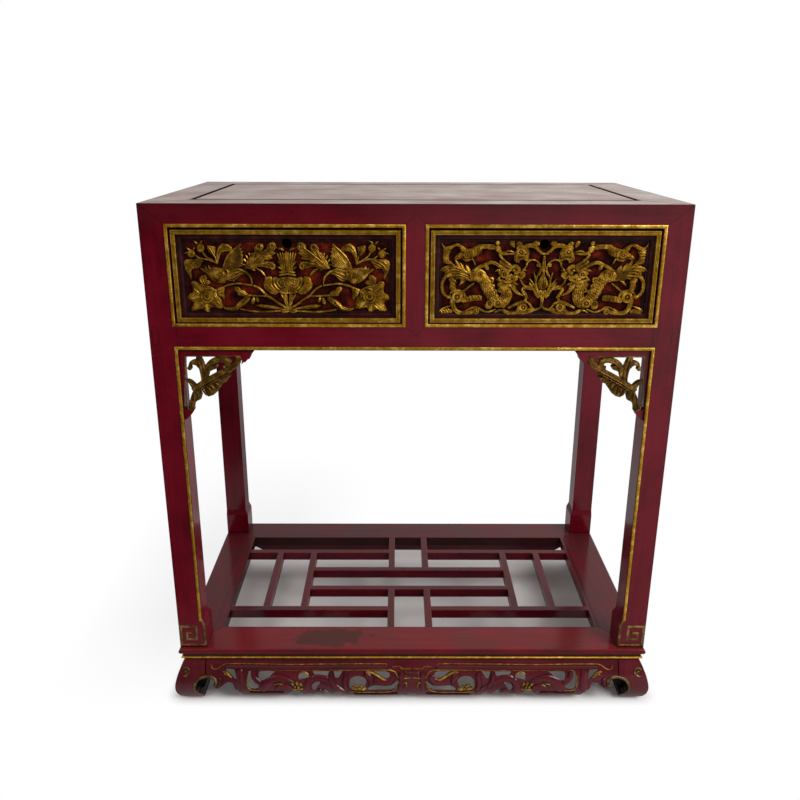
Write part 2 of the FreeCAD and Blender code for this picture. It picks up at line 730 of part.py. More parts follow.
# Scroll feet: one outline seen from the front and from the side
swell_half_width = f"({base_half_width} + foot_swell)"
swell_half_depth = f"({base_half_depth} + foot_swell)"
swell_z = f"({rail_low} - foot_swell_drop)"
swell_radius = f"((foot_sole_inset ^ 2 + {swell_z} ^ 2) / (2 * foot_sole_inset))"
foot_section = [
    ("foot_top_inset", rail_low), ("foot_width", rail_low),
    ("foot_width", f"{rail_low} - foot_seam_drop", "foot_arch_radius", -1),
    ("foot_hook_inset", "foot_hook_rise", "foot_hook_radius", -1),
    ("foot_sole_end", "0"), ("foot_sole_inset", "0", swell_radius, 1),
    ("0", swell_z, "foot_face_radius", 1)]
for end_name, end in ends_of_depth.items():
    for side_name, side in sides.items():
        name = end_name + side_name.title()
        face = placed(foot_section, side, swell_half_width)
        flank = placed(foot_section, end, swell_half_depth)
        from_front = prism(name + "FootFace", "XZ", [face],
                           *span(end, f"{swell_half_depth} - foot_width", swell_half_depth))
        from_side = prism(name + "FootFlank", "YZ", [flank],
                          *span(side, f"{swell_half_width} - foot_width", swell_half_width))
        keep(f"foot_{end_name}_{side_name}", meet(name + "Foot", from_front, from_side))

# Aprons between the feet: pierced and scalloped at the front, plain at the sides and the rear.
# Shares of half the length, out from the middle, and of the height, down from the frame.
plain_edge_shares = [
    (0, 0.592), (0.93, 0.592), (0.947, 0.53), (0.962, 0.47), (0.98, 0.44), (1, 0.44), (1, 0)]
apron_edge_shares = [
    (0, 0.79), (0.021, 0.94), (0.312, 0.94), (0.356, 0.84), (0.389, 0.87), (0.408, 0.76), (0.428, 0.76),
    (0.427, 0.87), (0.445, 0.89), (0.461, 0.83), (0.482, 0.91), (0.518, 0.92), (0.533, 0.76),
    (0.576, 0.82), (0.611, 0.94), (0.802, 0.94), (0.829, 0.79), (0.848, 0.76), (0.851, 0.65),
    (0.865, 0.57), (0.884, 0.57), (0.905, 0.65), (0.93, 0.74), (0.944, 0.68), (0.937, 0.57),
    (0.95, 0.45), (0.973, 0.4), (1, 0.44), (1, 0)]
apron_window_shares = [
    [(0.888, 0.19), (0.873, 0.15), (0.854, 0.16), (0.841, 0.27), (0.838, 0.38), (0.858, 0.41), (0.871, 0.33)],
    [(0.788, 0.27), (0.769, 0.27), (0.761, 0.41), (0.743, 0.52), (0.735, 0.62), (0.741, 0.73), (0.77, 0.75),
     (0.788, 0.63), (0.792, 0.41)],
    [(0.733, 0.27), (0.629, 0.24), (0.654, 0.3), (0.689, 0.43), (0.719, 0.54), (0.737, 0.46)],
    [(0.544, 0.41), (0.519, 0.32), (0.495, 0.31), (0.488, 0.41), (0.506, 0.49), (0.53, 0.51)],
    [(0.47, 0.27), (0.393, 0.27), (0.399, 0.41), (0.437, 0.38), (0.461, 0.41)],
    [(0.369, 0.27), (0.328, 0.27), (0.341, 0.4), (0.351, 0.49), (0.365, 0.4)],
    [(0.478, 0.65), (0.458, 0.57), (0.429, 0.57), (0.444, 0.68), (0.464, 0.82)],
    [(0.298, 0.6), (0.283, 0.43), (0.254, 0.39), (0.225, 0.43), (0.213, 0.51), (0.23, 0.68), (0.244, 0.61),
     (0.264, 0.62), (0.284, 0.77), (0.298, 0.73)],
    [(0.183, 0.27), (0.104, 0.27), (0.094, 0.38), (0.109, 0.5), (0.128, 0.47), (0.157, 0.36)],
    [(0.206, 0.72), (0.177, 0.61), (0.143, 0.64), (0.104, 0.62), (0.075, 0.54), (0.063, 0.55),
     (0.075, 0.72), (0.099, 0.77), (0.196, 0.77)]]
apron_low = f"({rail_low} - apron_height)"
apron_section = [
    ("foot_top_inset", rail_low), ("foot_top_inset + apron_thickness", rail_low),
    ("apron_thickness", swell_z), (f"apron_low_inset + apron_thickness", apron_low),
    ("apron_low_inset", apron_low, swell_radius, 1), ("0", swell_z, "foot_face_radius", 1)]


def apron_loops(half_length, edge_shares, window_shares):
    """Front view of an apron: its outline and the windows on both sides."""
    def corner(sign, share):
        return f"{sign * share[0]} * {half_length}", f"{rail_low} - {share[1]} * apron_height"
    outline = [corner(1, share) for share in edge_shares]
    outline += [corner(-1, share) for share in reversed(edge_shares[1:])]
    windows = [[corner(sign, share) for share in loop] for loop in window_shares for sign in (1, -1)]
    return [outline] + windows


apron_cuts = []
for name, kind, sign in base_members:
    length_plane, face_plane = ("YZ", "XZ") if kind == "long" else ("XZ", "YZ")
    reach, depth = swell_half_width, swell_half_depth
    if kind == "short":
        reach, depth = depth, reach
    half_length = f"({reach} - foot_width)"
    strip = prism(f"{name}ApronStrip", length_plane, [placed(apron_section, sign, depth)],
                  f"-{half_length}", half_length)
    shares = (apron_edge_shares, apron_window_shares) if name == "front" else (plain_edge_shares, [])
    face = pierced_board(f"{name}ApronFace", face_plane, apron_loops(half_length, *shares),
                         *span(sign, f"{depth} - foot_width", depth))
    apron_cuts.append((name, strip, face))
doc.recompute()
for name, strip, face in apron_cuts:
    apron = doc.addObject("Part::Feature", f"{name}Apron")
    apron.Shape = strip.Shape.common(face.Shape)
    keep(f"apron_{name}", apron)

doc.recompute()
for thing in doc.Objects:
    if {"Invalid", "Error"} & set(thing.State):
        raise RuntimeError(f"{thing.Name} failed: {thing.State}")
for label, thing in nodes.items():
    if thing.Shape.isNull() or not thing.Shape.isValid() or not thing.Shape.Solids:
        raise RuntimeError(f"{label} has no valid solid")

os.makedirs("parts", exist_ok=True)
for label, thing in nodes.items():
    thing.Shape.exportStep(f"parts/{label}.step")
whole = Part.makeCompound([thing.Shape for thing in nodes.values()]).BoundBox
print(f"{len(nodes)} nodes, box {whole.XMin:.1f} {whole.YMin:.1f} {whole.ZMin:.1f} "
      f"to {whole.XMax:.1f} {whole.YMax:.1f} {whole.ZMax:.1f}")
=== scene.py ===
import math
import bmesh
import bpy
from mathutils import Matrix, Vector


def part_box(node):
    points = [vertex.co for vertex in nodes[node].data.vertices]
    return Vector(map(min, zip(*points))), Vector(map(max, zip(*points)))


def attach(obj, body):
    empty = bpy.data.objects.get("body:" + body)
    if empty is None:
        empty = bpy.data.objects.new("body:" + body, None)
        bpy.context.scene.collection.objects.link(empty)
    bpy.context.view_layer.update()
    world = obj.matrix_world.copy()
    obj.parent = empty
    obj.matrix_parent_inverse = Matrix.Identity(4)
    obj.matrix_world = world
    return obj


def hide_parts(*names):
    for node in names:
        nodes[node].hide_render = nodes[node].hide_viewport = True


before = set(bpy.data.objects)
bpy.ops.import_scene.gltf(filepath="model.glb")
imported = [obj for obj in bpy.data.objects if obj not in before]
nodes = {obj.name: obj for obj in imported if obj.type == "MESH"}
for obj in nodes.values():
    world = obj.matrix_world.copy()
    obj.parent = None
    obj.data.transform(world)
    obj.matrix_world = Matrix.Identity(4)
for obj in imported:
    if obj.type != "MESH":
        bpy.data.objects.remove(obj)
scene = bpy.context.scene
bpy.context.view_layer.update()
millimetre = 0.001

# The room
# A plain pale floor under soft studio light, seen from standing height in front of the table.
# The camera stands where the photograph was taken from, with the same lens.
eye = Vector((-0.0273, -1.4743, 1.0028))
eye_pitch = 0.3294
eye_turn = 0.0032
eye_roll = 0.0028
lens = 36.28
sensor = 36
forward = Vector((math.sin(eye_turn) * math.cos(eye_pitch), math.cos(eye_turn) * math.cos(eye_pitch),
                  -math.sin(eye_pitch)))
level_right = Vector((math.cos(eye_turn), -math.sin(eye_turn), 0))
level_up = level_right.cross(forward)
eye_right = math.cos(eye_roll) * level_right + math.sin(eye_roll) * level_up
eye_up = math.cos(eye_roll) * level_up - math.sin(eye_roll) * level_right
eye_axes = Matrix((eye_right, eye_up, -forward)).transposed().to_4x4()
camera_data = bpy.data.cameras.new("Camera")
camera_data.lens = lens
camera_data.sensor_width = sensor
camera = bpy.data.objects.new("Camera", camera_data)
camera.matrix_world = Matrix.Translation(eye) @ eye_axes
scene.collection.objects.link(camera)
scene.camera = camera
scene.view_settings.view_transform = "Standard"


def add_node(tree, kind, settings=None, links=None):
    """Adds a node, sets its properties or its ramp's stops, and fills its sockets."""
    node = tree.nodes.new("ShaderNode" + kind)
    for name, value in (settings or {}).items():
        if name == "stops":
            ramp = node.color_ramp.elements
            ramp.remove(ramp[1])
            ramp[0].position, ramp[0].color = value[0][0], srgb(value[0][1])
            for place, code in value[1:]:
                ramp.new(place).color = srgb(code)
        else:
            setattr(node, name, value)
    for name, value in (links or {}).items():
        if isinstance(value, bpy.types.NodeSocket):
            tree.links.new(value, node.inputs[name])
        else:
            node.inputs[name].default_value = value
    return node


def srgb(code):
    """A linear colour from its hex code."""
    parts = [int(code[i:i + 2], 16) / 255 for i in (1, 3, 5)]
    return tuple(p / 12.92 if p <= 0.04045 else ((p + 0.055) / 1.055) ** 2.4 for p in parts) + (1,)


def new_finish(name):
    """A new material, its nodes, its surface shader and the socket of the place on the piece."""
    material = bpy.data.materials.new(name)
    material.use_nodes = True
    tree = material.node_tree
    place = add_node(tree, "TexCoord").outputs["Object"]
    return material, tree, tree.nodes["Principled BSDF"], place


def ray_kinds(tree):
    """Sockets that are 1 for the eye's own rays, for mirrored and refracted rays, and for either."""
    path = add_node(tree, "LightPath").outputs
    echo = add_node(tree, "Math", {"operation": "MAXIMUM"},
                    {0: path["Is Glossy Ray"], 1: path["Is Transmission Ray"]})
    seen = add_node(tree, "Math", {"operation": "MAXIMUM"},
                    {0: echo.outputs[0], 1: path["Is Camera Ray"]})
    return path["Is Camera Ray"], echo.outputs[0], seen.outputs[0]


# White paper hangs round the room. Behind the eye the studio is dim, so the front stays deep red,
# and what the table mirrors is dimmer on the left.
world = bpy.data.worlds.new("Studio")
scene.world = world
world.use_nodes = True
tree = world.node_tree
tree.nodes.clear()
direction = add_node(tree, "TexCoord")
split = add_node(tree, "SeparateXYZ", {}, {0: direction.outputs["Generated"]})
behind = add_node(tree, "MapRange", {},
                  {"Value": split.outputs["Y"], "From Min": -0.5, "From Max": 0.4, "To Min": 0.26,
                   "To Max": 1.0})
ahead = add_node(tree, "MapRange", {},
                 {"Value": split.outputs["Y"], "From Min": -0.5, "From Max": 0.1, "To Min": 0.1,
                  "To Max": 1.0})
leftward = add_node(tree, "MapRange", {},
                    {"Value": split.outputs["X"], "From Min": -0.28, "From Max": 0.18, "To Min": 0.6,
                     "To Max": 1.06})
mirrored = add_node(tree, "Math", {"operation": "MULTIPLY"},
                    {0: ahead.outputs[0], 1: leftward.outputs[0]})
eye_ray, echo, seen = ray_kinds(tree)
paper = add_node(tree, "Math", {"operation": "MAXIMUM"}, {0: mirrored.outputs[0], 1: eye_ray})
sky = add_node(tree, "Background", {}, {"Color": (1, 1, 1, 1), "Strength": behind.outputs[0]})
tint = add_node(tree, "Mix", {"data_type": "RGBA"}, {0: eye_ray, 6: srgb("#FCF7F3"), 7: (1, 1, 1, 1)})
clear = add_node(tree, "Background", {}, {"Color": tint.outputs[2], "Strength": paper.outputs[0]})
mix = add_node(tree, "MixShader", {}, {0: seen, 1: sky.outputs[0], 2: clear.outputs[0]})
add_node(tree, "OutputWorld", {}, {"Surface": mix.outputs[0]})

# Each lamp has a name, a place, a size in metres and a power in watts.
lamps = (("Key", (2.1, -1.7, 2.3), 1.4, 88), ("Fill", (-1.9, -1.9, 2.4), 1.8, 14))
lamp_target = Vector((0, 0, 0.4))
for name, place, size, power in lamps:
    data = bpy.data.lights.new(name, "AREA")
    data.shape = "SQUARE"
    data.size = size
    data.energy = power
    lamp = bpy.data.objects.new(name, data)
    aim = lamp_target - Vector(place)
    lamp.matrix_world = Matrix.Translation(place) @ aim.to_track_quat("-Z", "Y").to_matrix().to_4x4()
    scene.collection.objects.link(lamp)

# The paper floor is overexposed to plain white beyond the table and keeps the shadow below it.
floor_paper, tree, surface, place = new_finish("white paper floor")
surface.inputs["Base Color"].default_value = srgb("#D8D4D2")
surface.inputs["Roughness"].default_value = 0.9
surface.inputs["Specular IOR Level"].default_value = 0.1
shadow_middle, shadow_half, shadow_fringe = (0, 0.06, 0), (0.42, 0.291, 0), 0.038
centred = add_node(tree, "VectorMath", {"operation": "SUBTRACT"}, {0: place, 1: shadow_middle})
apart = add_node(tree, "VectorMath", {"operation": "ABSOLUTE"}, {0: centred.outputs[0]})
beyond = add_node(tree, "VectorMath", {"operation": "SUBTRACT"}, {0: apart.outputs[0], 1: shadow_half})
outside = add_node(tree, "VectorMath", {"operation": "MAXIMUM"}, {0: beyond.outputs[0], 1: (0, 0, 0)})
distance = add_node(tree, "VectorMath", {"operation": "LENGTH"}, {0: outside.outputs[0]})
faded = add_node(tree, "MapRange", {"interpolation_type": "SMOOTHSTEP"},
                 {"Value": distance.outputs["Value"], "From Min": 0, "From Max": shadow_fringe})
eye_ray, echo, seen = ray_kinds(tree)
share = add_node(tree, "Math", {"operation": "MULTIPLY"}, {0: seen, 1: faded.outputs[0]})
# What the table mirrors of the floor is dim on the left and close to the table.
split = add_node(tree, "SeparateXYZ", {}, {0: place})
middle = add_node(tree, "MapRange", {},
                  {"Value": split.outputs["X"], "From Min": -0.55, "From Max": 0.1, "To Min": 0.02,
                   "To Max": 0.62})
right = add_node(tree, "MapRange", {},
                 {"Value": split.outputs["X"], "From Min": 0.6, "From Max": 1.3, "To Min": 0,
                  "To Max": 0.4})
rightward = add_node(tree, "Math", {"operation": "ADD"}, {0: middle.outputs[0], 1: right.outputs[0]})
close = add_node(tree, "MapRange", {},
                 {"Value": distance.outputs["Value"], "From Min": 0.02, "From Max": 0.32,
                  "To Min": 0.9, "To Max": 0})
mirrored = add_node(tree, "Math", {"operation": "MAXIMUM"},
                    {0: rightward.outputs[0], 1: close.outputs[0]})
# A faint shade lies on the paper beside and behind the table's left end.
shade_x = -0.4
aside = add_node(tree, "Math", {"operation": "SUBTRACT"}, {0: split.outputs["X"], 1: shade_x})
offset = add_node(tree, "Math", {"operation": "ABSOLUTE"}, {0: aside.outputs[0]})
shade = add_node(tree, "MapRange", {},
                 {"Value": offset.outputs[0], "From Min": 0.1, "From Max": 0.3, "To Min": 0.13,
                  "To Max": 0})
rearward = add_node(tree, "MapRange", {},
                    {"Value": split.outputs["Y"], "From Min": -0.27, "From Max": 0})
ended = add_node(tree, "MapRange", {},
                 {"Value": split.outputs["Y"], "From Min": 0.3, "From Max": 0.9, "To Min": 1,
                  "To Max": 0})
stretch = add_node(tree, "Math", {"operation": "MULTIPLY"},
                   {0: rearward.outputs[0], 1: ended.outputs[0]})
shaded = add_node(tree, "Math", {"operation": "MULTIPLY"}, {0: shade.outputs[0], 1: stretch.outputs[0]})
lit = add_node(tree, "Math", {"operation": "SUBTRACT"}, {0: eye_ray, 1: shaded.outputs[0]})
echoed = add_node(tree, "Math", {"operation": "MULTIPLY"}, {0: mirrored.outputs[0], 1: echo})
bright = add_node(tree, "Math", {"operation": "MAXIMUM"}, {0: echoed.outputs[0], 1: lit.outputs[0]})
glow = add_node(tree, "Emission", {}, {"Color": (1, 1, 1, 1), "Strength": bright.outputs[0]})
mix = add_node(tree, "MixShader", {}, {0: share.outputs[0], 1: surface.outputs[0], 2: glow.outputs[0]})
tree.links.new(mix.outputs[0], tree.nodes["Material Output"].inputs["Surface"])
floor_half = 12
mesh = bpy.data.meshes.new("floor")
bm = bmesh.new()
bmesh.ops.create_grid(bm, x_segments=1, y_segments=1, size=floor_half)
bm.to_mesh(mesh)
bm.free()
mesh.materials.append(floor_paper)
floor = bpy.data.objects.new("floor", mesh)
scene.collection.objects.link(floor)

# Legs, rails and stile
# Posts and rails of hard wood under old red lacquer, joined by mitres and tenons.
# The lacquer was brushed on along the grain; age has browned it and rubbed its arrises dark.


def lacquer(name, grain, shades, gloss, mirror, film, coat, arris_code="#240709"):
    """Old brushed red lacquer: soft streaks along the grain, cloudy patches, worn arrises and painted
    shade in inside corners.

    A pale film of dust and wear, with a painted sheen of the pale room it mirrors, lies on what faces
    up; film is the most of it that shows.
    Gloss is its roughness where it is smoothest, and mirror how strongly it mirrors.
    Coat is the share of the clear polish over it that is left."""
    material, tree, surface, place = new_finish(name)
    streak_width, streak_length = 9 * millimetre, 150 * millimetre
    stretch = [1 / (streak_length if axis == grain else streak_width) for axis in "xyz"]
    along = add_node(tree, "Mapping", {}, {"Vector": place, "Scale": stretch})
    streaks = add_node(tree, "TexNoise", {},
                       {"Vector": along.outputs[0], "Scale": 1, "Detail": 4, "Roughness": 0.6})
    clouds = add_node(tree, "TexNoise", {},
                      {"Vector": place, "Scale": 1 / (90 * millimetre), "Detail": 5, "Roughness": 0.62})
    blend = add_node(tree, "Mix", {"data_type": "FLOAT"},
                     {0: 0.35, 2: clouds.outputs[0], 3: streaks.outputs[0]})
    red = add_node(tree, "ValToRGB", {"stops": tuple(zip((0.32, 0.5, 0.7), shades))},
                   {0: blend.outputs[0]})
    # Fine dents and specks of grime, a few to the hand's breadth.
    specks = add_node(tree, "TexNoise", {},
                      {"Vector": place, "Scale": 1 / (7 * millimetre), "Detail": 2})
    pits = add_node(tree, "MapRange", {},
                    {"Value": specks.outputs[0], "From Min": 0.7, "From Max": 0.76, "To Min": 0,
                     "To Max": 0.55})
    rounded = add_node(tree, "Bevel", {"samples": 4}, {"Radius": 3.4 * millimetre})
    flat = add_node(tree, "NewGeometry").outputs["Normal"]
    turn = add_node(tree, "VectorMath", {"operation": "DOT_PRODUCT"}, {0: rounded.outputs[0], 1: flat})
    chips = add_node(tree, "TexNoise", {},
                     {"Vector": place, "Scale": 1 / (6 * millimetre), "Detail": 3})
    # Arrises take the arris colour: dark where worn; a light arris colour is also a painted highlight
    # along them.
    arris = add_node(tree, "MapRange", {},
                     {"Value": turn.outputs["Value"], "From Min": 0.985, "From Max": 0.9, "To Min": 0,
                      "To Max": 0.85})
    ragged = add_node(tree, "MapRange", {},
                      {"Value": chips.outputs[0], "From Min": 0.38, "From Max": 0.62, "To Min": 0.3,
                       "To Max": 1})
    rubbed = add_node(tree, "Math", {"operation": "MULTIPLY"},
                      {0: arris.outputs[0], 1: ragged.outputs[0]})
    # Painted shade: inside corners go towards near black where shadow falls there, together with the
    # specks of grime.
    hollow = add_node(tree, "AmbientOcclusion", {"samples": 4}, {"Distance": 9 * millimetre})
    corner = add_node(tree, "MapRange", {},
                      {"Value": hollow.outputs["AO"], "From Min": 0.45, "From Max": 0.75,
                       "To Min": 0.7, "To Max": 0})
    grime_and_corner_shade = add_node(tree, "Math", {"operation": "MAXIMUM"}, {0: corner.outputs[0], 1: pits.outputs[0]})
    # What faces up is paled by dust and wear, and by a painted sheen of the pale room it mirrors.
    upward = add_node(tree, "SeparateXYZ", {}, {0: flat})
    lying = add_node(tree, "MapRange", {},
                     {"Value": upward.outputs["Z"], "From Min": 0.5, "From Max": 0.95, "To Min": 0,
                      "To Max": film})
    patchy = add_node(tree, "MapRange", {},
                      {"Value": clouds.outputs[0], "From Min": 0.36, "From Max": 0.6, "To Min": 1,
                       "To Max": 0.35})
    dust_and_sheen = add_node(tree, "Math", {"operation": "MULTIPLY"},
                    {0: lying.outputs[0], 1: patchy.outputs[0]})
    dusted_and_sheened = add_node(tree, "Mix", {"data_type": "RGBA"},
                     {0: dust_and_sheen.outputs[0], 6: red.outputs[0], 7: srgb("#8F807A")})
    worn_and_highlit_arris = add_node(tree, "Mix", {"data_type": "RGBA"},
                          {0: rubbed.outputs[0], 6: dusted_and_sheened.outputs[2], 7: srgb(arris_code)})
    grimed_and_shaded = add_node(tree, "Mix", {"data_type": "RGBA"},
                    {0: grime_and_corner_shade.outputs[0], 6: worn_and_highlit_arris.outputs[2], 7: srgb("#1C0607")})
    tree.links.new(grimed_and_shaded.outputs[2], surface.inputs["Base Color"])
    shine = add_node(tree, "MapRange", {},
                     {"Value": clouds.outputs[0], "From Min": 0.3, "From Max": 0.7, "To Min": gloss,
                      "To Max": gloss + 0.16})
    tree.links.new(shine.outputs[0], surface.inputs["Roughness"])
    dents = add_node(tree, "Bump", {},
                     {"Strength": 0.25, "Distance": 0.4 * millimetre, "Height": streaks.outputs[0],
                      "Normal": rounded.outputs[0]})
    tree.links.new(dents.outputs[0], surface.inputs["Normal"])
    surface.inputs["Specular IOR Level"].default_value = mirror
    surface.inputs["Coat Weight"].default_value = coat
    surface.inputs["Coat Roughness"].default_value = 0.14
    return material


def lay_over(material, mask, code):
    """Lays a dull colour over a material's own where the mask is high."""
    tree = material.node_tree
    surface = tree.nodes["Principled BSDF"]
    colour, shine = surface.inputs["Base Color"], surface.inputs["Roughness"]
    laid = add_node(tree, "Mix", {"data_type": "RGBA"},
                    {0: mask, 6: colour.links[0].from_socket, 7: srgb(code)})
    tree.links.new(laid.outputs[2], colour)
    dulled = add_node(tree, "Mix", {"data_type": "FLOAT"},
                      {0: mask, 2: shine.links[0].from_socket, 3: 0.8})
    tree.links.new(dulled.outputs[0], shine)


def draw_seams(material, middle_y, half_x, half_y, width, strength, long_share=1):
    """Dark seams round a panel and along the mitres that run out from its corners.

    The seams along its long sides are long_share times as wide as the others."""
    tree = material.node_tree
    place = add_node(tree, "TexCoord").outputs["Object"]
    centred = add_node(tree, "VectorMath", {"operation": "SUBTRACT"}, {0: place, 1: (0, middle_y, 0)})
    apart = add_node(tree, "VectorMath", {"operation": "ABSOLUTE"}, {0: centred.outputs[0]})
    beyond = add_node(tree, "VectorMath", {"operation": "SUBTRACT"},
                      {0: apart.outputs[0], 1: (half_x, half_y, 0)})
    split = add_node(tree, "SeparateXYZ", {}, {0: beyond.outputs[0]})
    outward = add_node(tree, "Math", {"operation": "MAXIMUM"},
                       {0: split.outputs["X"], 1: split.outputs["Y"]})
    narrowed = add_node(tree, "Math", {"operation": "MULTIPLY"},
                        {0: split.outputs["Y"], 1: 1 / long_share})
    drawn = add_node(tree, "Math", {"operation": "MAXIMUM"},
                     {0: split.outputs["X"], 1: narrowed.outputs[0]})
    rim = add_node(tree, "Math", {"operation": "ABSOLUTE"}, {0: drawn.outputs[0]})
    inward = add_node(tree, "Math", {"operation": "MULTIPLY"}, {0: outward.outputs[0], 1: -1})
    aside = add_node(tree, "Math", {"operation": "SUBTRACT"},
                     {0: split.outputs["X"], 1: split.outputs["Y"]})
    mitre = add_node(tree, "Math", {"operation": "ABSOLUTE"}, {0: aside.outputs[0]})
    outer = add_node(tree, "Math", {"operation": "MAXIMUM"},
                     {0: mitre.outputs[0], 1: inward.outputs[0]})
    near = add_node(tree, "Math", {"operation": "MINIMUM"}, {0: rim.outputs[0], 1: outer.outputs[0]})
    mask = add_node(tree, "MapRange", {},
                    {"Value": near.outputs[0], "From Min": 0.4 * width, "From Max": width,
                     "To Min": strength, "To Max": 0})
    lay_over(material, mask.outputs[0], "#150504")


def paint(material, *names):
    """Gives pieces of the drawn model their finish."""
    for name in names:
        nodes[name].data.materials.clear()
        nodes[name].data.materials.append(material)


corners = [f"{end}_{side}" for end in ("front", "rear") for side in ("left", "right")]
case_shades = ("#42010A", "#5C0214", "#660A1C")
case_polish = dict(gloss=0.42, mirror=0.04, film=0.1, coat=0.45)
upright_lacquer = lacquer("brushed red lacquer on posts", "z", case_shades, **case_polish)
long_lacquer = lacquer("brushed red lacquer on long rails", "x", case_shades, **case_polish)
short_lacquer = lacquer("brushed red lacquer on side rails", "y", case_shades, **case_polish)
# The case is darker towards its upper edge.
darkening_start_z, darkening_full_z = 0.845, 0.892
for material in (upright_lacquer, long_lacquer, short_lacquer):
    tree = material.node_tree
    place = add_node(tree, "TexCoord").outputs["Object"]
    split = add_node(tree, "SeparateXYZ", {}, {0: place})
    upper_darkening = add_node(tree, "MapRange", {},
                       {"Value": split.outputs["Z"], "From Min": darkening_start_z, "From Max": darkening_full_z,
                        "To Min": 0, "To Max": 0.5})
    lay_over(material, upper_darkening.outputs[0], "#260C0C")
paint(upright_lacquer, "centre_stile", "side_panel_left", "side_panel_right", "back_panel",
      *(f"leg_{corner}" for corner in corners))
paint(long_lacquer, "lower_rail_front", "lower_rail_rear", "apron_front", "apron_rear")
paint(short_lacquer, "lower_rail_left", "lower_rail_right", "apron_left", "apron_right")

# Table top
# A mitred frame with a flush panel, lacquered as one face and polished and stained by use.
# Seen low across, it mirrors the pale room; the pale film of wear over it is partly a painted
# reflection of that room.
top_shades = ("#360A0A", "#4E1410", "#66291E")
# The top's film, the palest of any part, is dust and wear and a painted reflection of the pale room.
top_polish = dict(gloss=0.24, mirror=0.2, film=0.5, coat=0)
top_long_lacquer = lacquer("worn red lacquer on the top", "x", top_shades, **top_polish)
top_short_lacquer = lacquer("worn red lacquer on the top's ends", "y", top_shades, **top_polish)
panel_low, panel_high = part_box("top_panel")
for material in (top_long_lacquer, top_short_lacquer):
    surface = material.node_tree.nodes["Principled BSDF"]
    surface.inputs["Sheen Weight"].default_value = 0.16
    surface.inputs["Sheen Roughness"].default_value = 0.5
    surface.inputs["Sheen Tint"].default_value = srgb("#F0DED4")
    draw_seams(material, middle_y=(panel_low.y + panel_high.y) / 2, half_x=panel_high.x,
               half_y=(panel_high.y - panel_low.y) / 2, width=2.2 * millimetre, strength=0.8,
               long_share=2)
# Only the upper faces of the rails have the top's worn finish and its painted reflection.
for name, side_lacquer, upper_lacquer in (("top_rail_front", long_lacquer, top_long_lacquer),
                                          ("top_rail_rear", long_lacquer, top_long_lacquer),
                                          ("top_rail_left", short_lacquer, top_short_lacquer),
                                          ("top_rail_right", short_lacquer, top_short_lacquer)):
    paint(side_lacquer, name)
    nodes[name].data.materials.append(upper_lacquer)
    for polygon in nodes[name].data.polygons:
        polygon.material_index = int(polygon.normal.z > 0.7)

# Shelf
# A low frame of moulded rails, mitred at the corners, round a lattice of flat bars.
# Feet and pots have rubbed its front rail down to brown.
shelf_shades = ("#33030B", "#4A0612", "#58121C")
# The shelf's arrises are light: rubbed lacquer, and a painted highlight along the rounded edge.
shelf_polish = dict(gloss=0.42, mirror=0.04, film=0.04, coat=0.34, arris_code="#7E3A30")
tread_lacquer = lacquer("rubbed red lacquer on the shelf's front", "x",
                        ("#4A050C", "#660813", "#78181E"), **shelf_polish)
shelf_long_lacquer = lacquer("worn red lacquer on the shelf", "x", shelf_shades, **shelf_polish)
shelf_short_lacquer = lacquer("worn red lacquer on the shelf's ends", "y", shelf_shades, **shelf_polish)
front_rail_low, front_rail_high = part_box("base_rail_front")
rear_rail_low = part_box("base_rail_rear")[0]
left_rail_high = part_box("base_rail_left")[1]
for material in (tread_lacquer, shelf_long_lacquer, shelf_short_lacquer):
    draw_seams(material, middle_y=(front_rail_high.y + rear_rail_low.y) / 2, half_x=-left_rail_high.x,
               half_y=(rear_rail_low.y - front_rail_high.y) / 2, width=1.6 * millimetre,
               strength=0.75)
# The brown patch on the front rail, rubbed through the lacquer.
patch_middle = (-0.15, front_rail_low.y + 40 * millimetre, front_rail_high.z)
patch_half_long, patch_half_wide = 76 * millimetre, 33 * millimetre
tree = tread_lacquer.node_tree
place = add_node(tree, "TexCoord").outputs["Object"]
centred = add_node(tree, "VectorMath", {"operation": "SUBTRACT"}, {0: place, 1: patch_middle})
shrunk = add_node(tree, "VectorMath", {"operation": "MULTIPLY"},
                  {0: centred.outputs[0], 1: (1 / patch_half_long, 1 / patch_half_wide, 1)})
reach = add_node(tree, "VectorMath", {"operation": "LENGTH"}, {0: shrunk.outputs[0]})
fringe = add_node(tree, "TexNoise", {}, {"Vector": place, "Scale": 1 / (26 * millimetre), "Detail": 6})
swing = add_node(tree, "Math", {"operation": "MULTIPLY"}, {0: fringe.outputs[0], 1: 2.2})
ragged = add_node(tree, "Math", {"operation": "ADD"}, {0: reach.outputs["Value"], 1: swing.outputs[0]})
patch = add_node(tree, "MapRange", {},
                 {"Value": ragged.outputs[0], "From Min": 1.75, "From Max": 2.05, "To Min": 0.85,
                  "To Max": 0})
lay_over(tread_lacquer, patch.outputs[0], "#3E1E17")
# Its edge, below its upper face, is darker.
edge_z, tread_z = 0.1035, 0.1055
split = add_node(tree, "SeparateXYZ", {}, {0: place})
edge = add_node(tree, "MapRange", {},
                {"Value": split.outputs["Z"], "From Min": edge_z, "From Max": tread_z, "To Min": 0.6,
                 "To Max": 0})
lay_over(tread_lacquer, edge.outputs[0], "#3C1218")
paint(tread_lacquer, "base_rail_front")
paint(shelf_long_lacquer, "base_rail_rear", "lattice_front_bars",
      "lattice_rear_bars", "lattice_spine_bars")
paint(shelf_short_lacquer, "base_rail_left", "base_rail_right", "lattice_cross_left_bars",
      "lattice_cross_right_bars", "lattice_centre_front_bars", "lattice_centre_rear_bars")

# Inside
# Drawer boxes, runners and battens of plain softwood, planed and left bare, browned with age.
# The drawers slide on the runners, and the battens hold the top's panel flat from below.


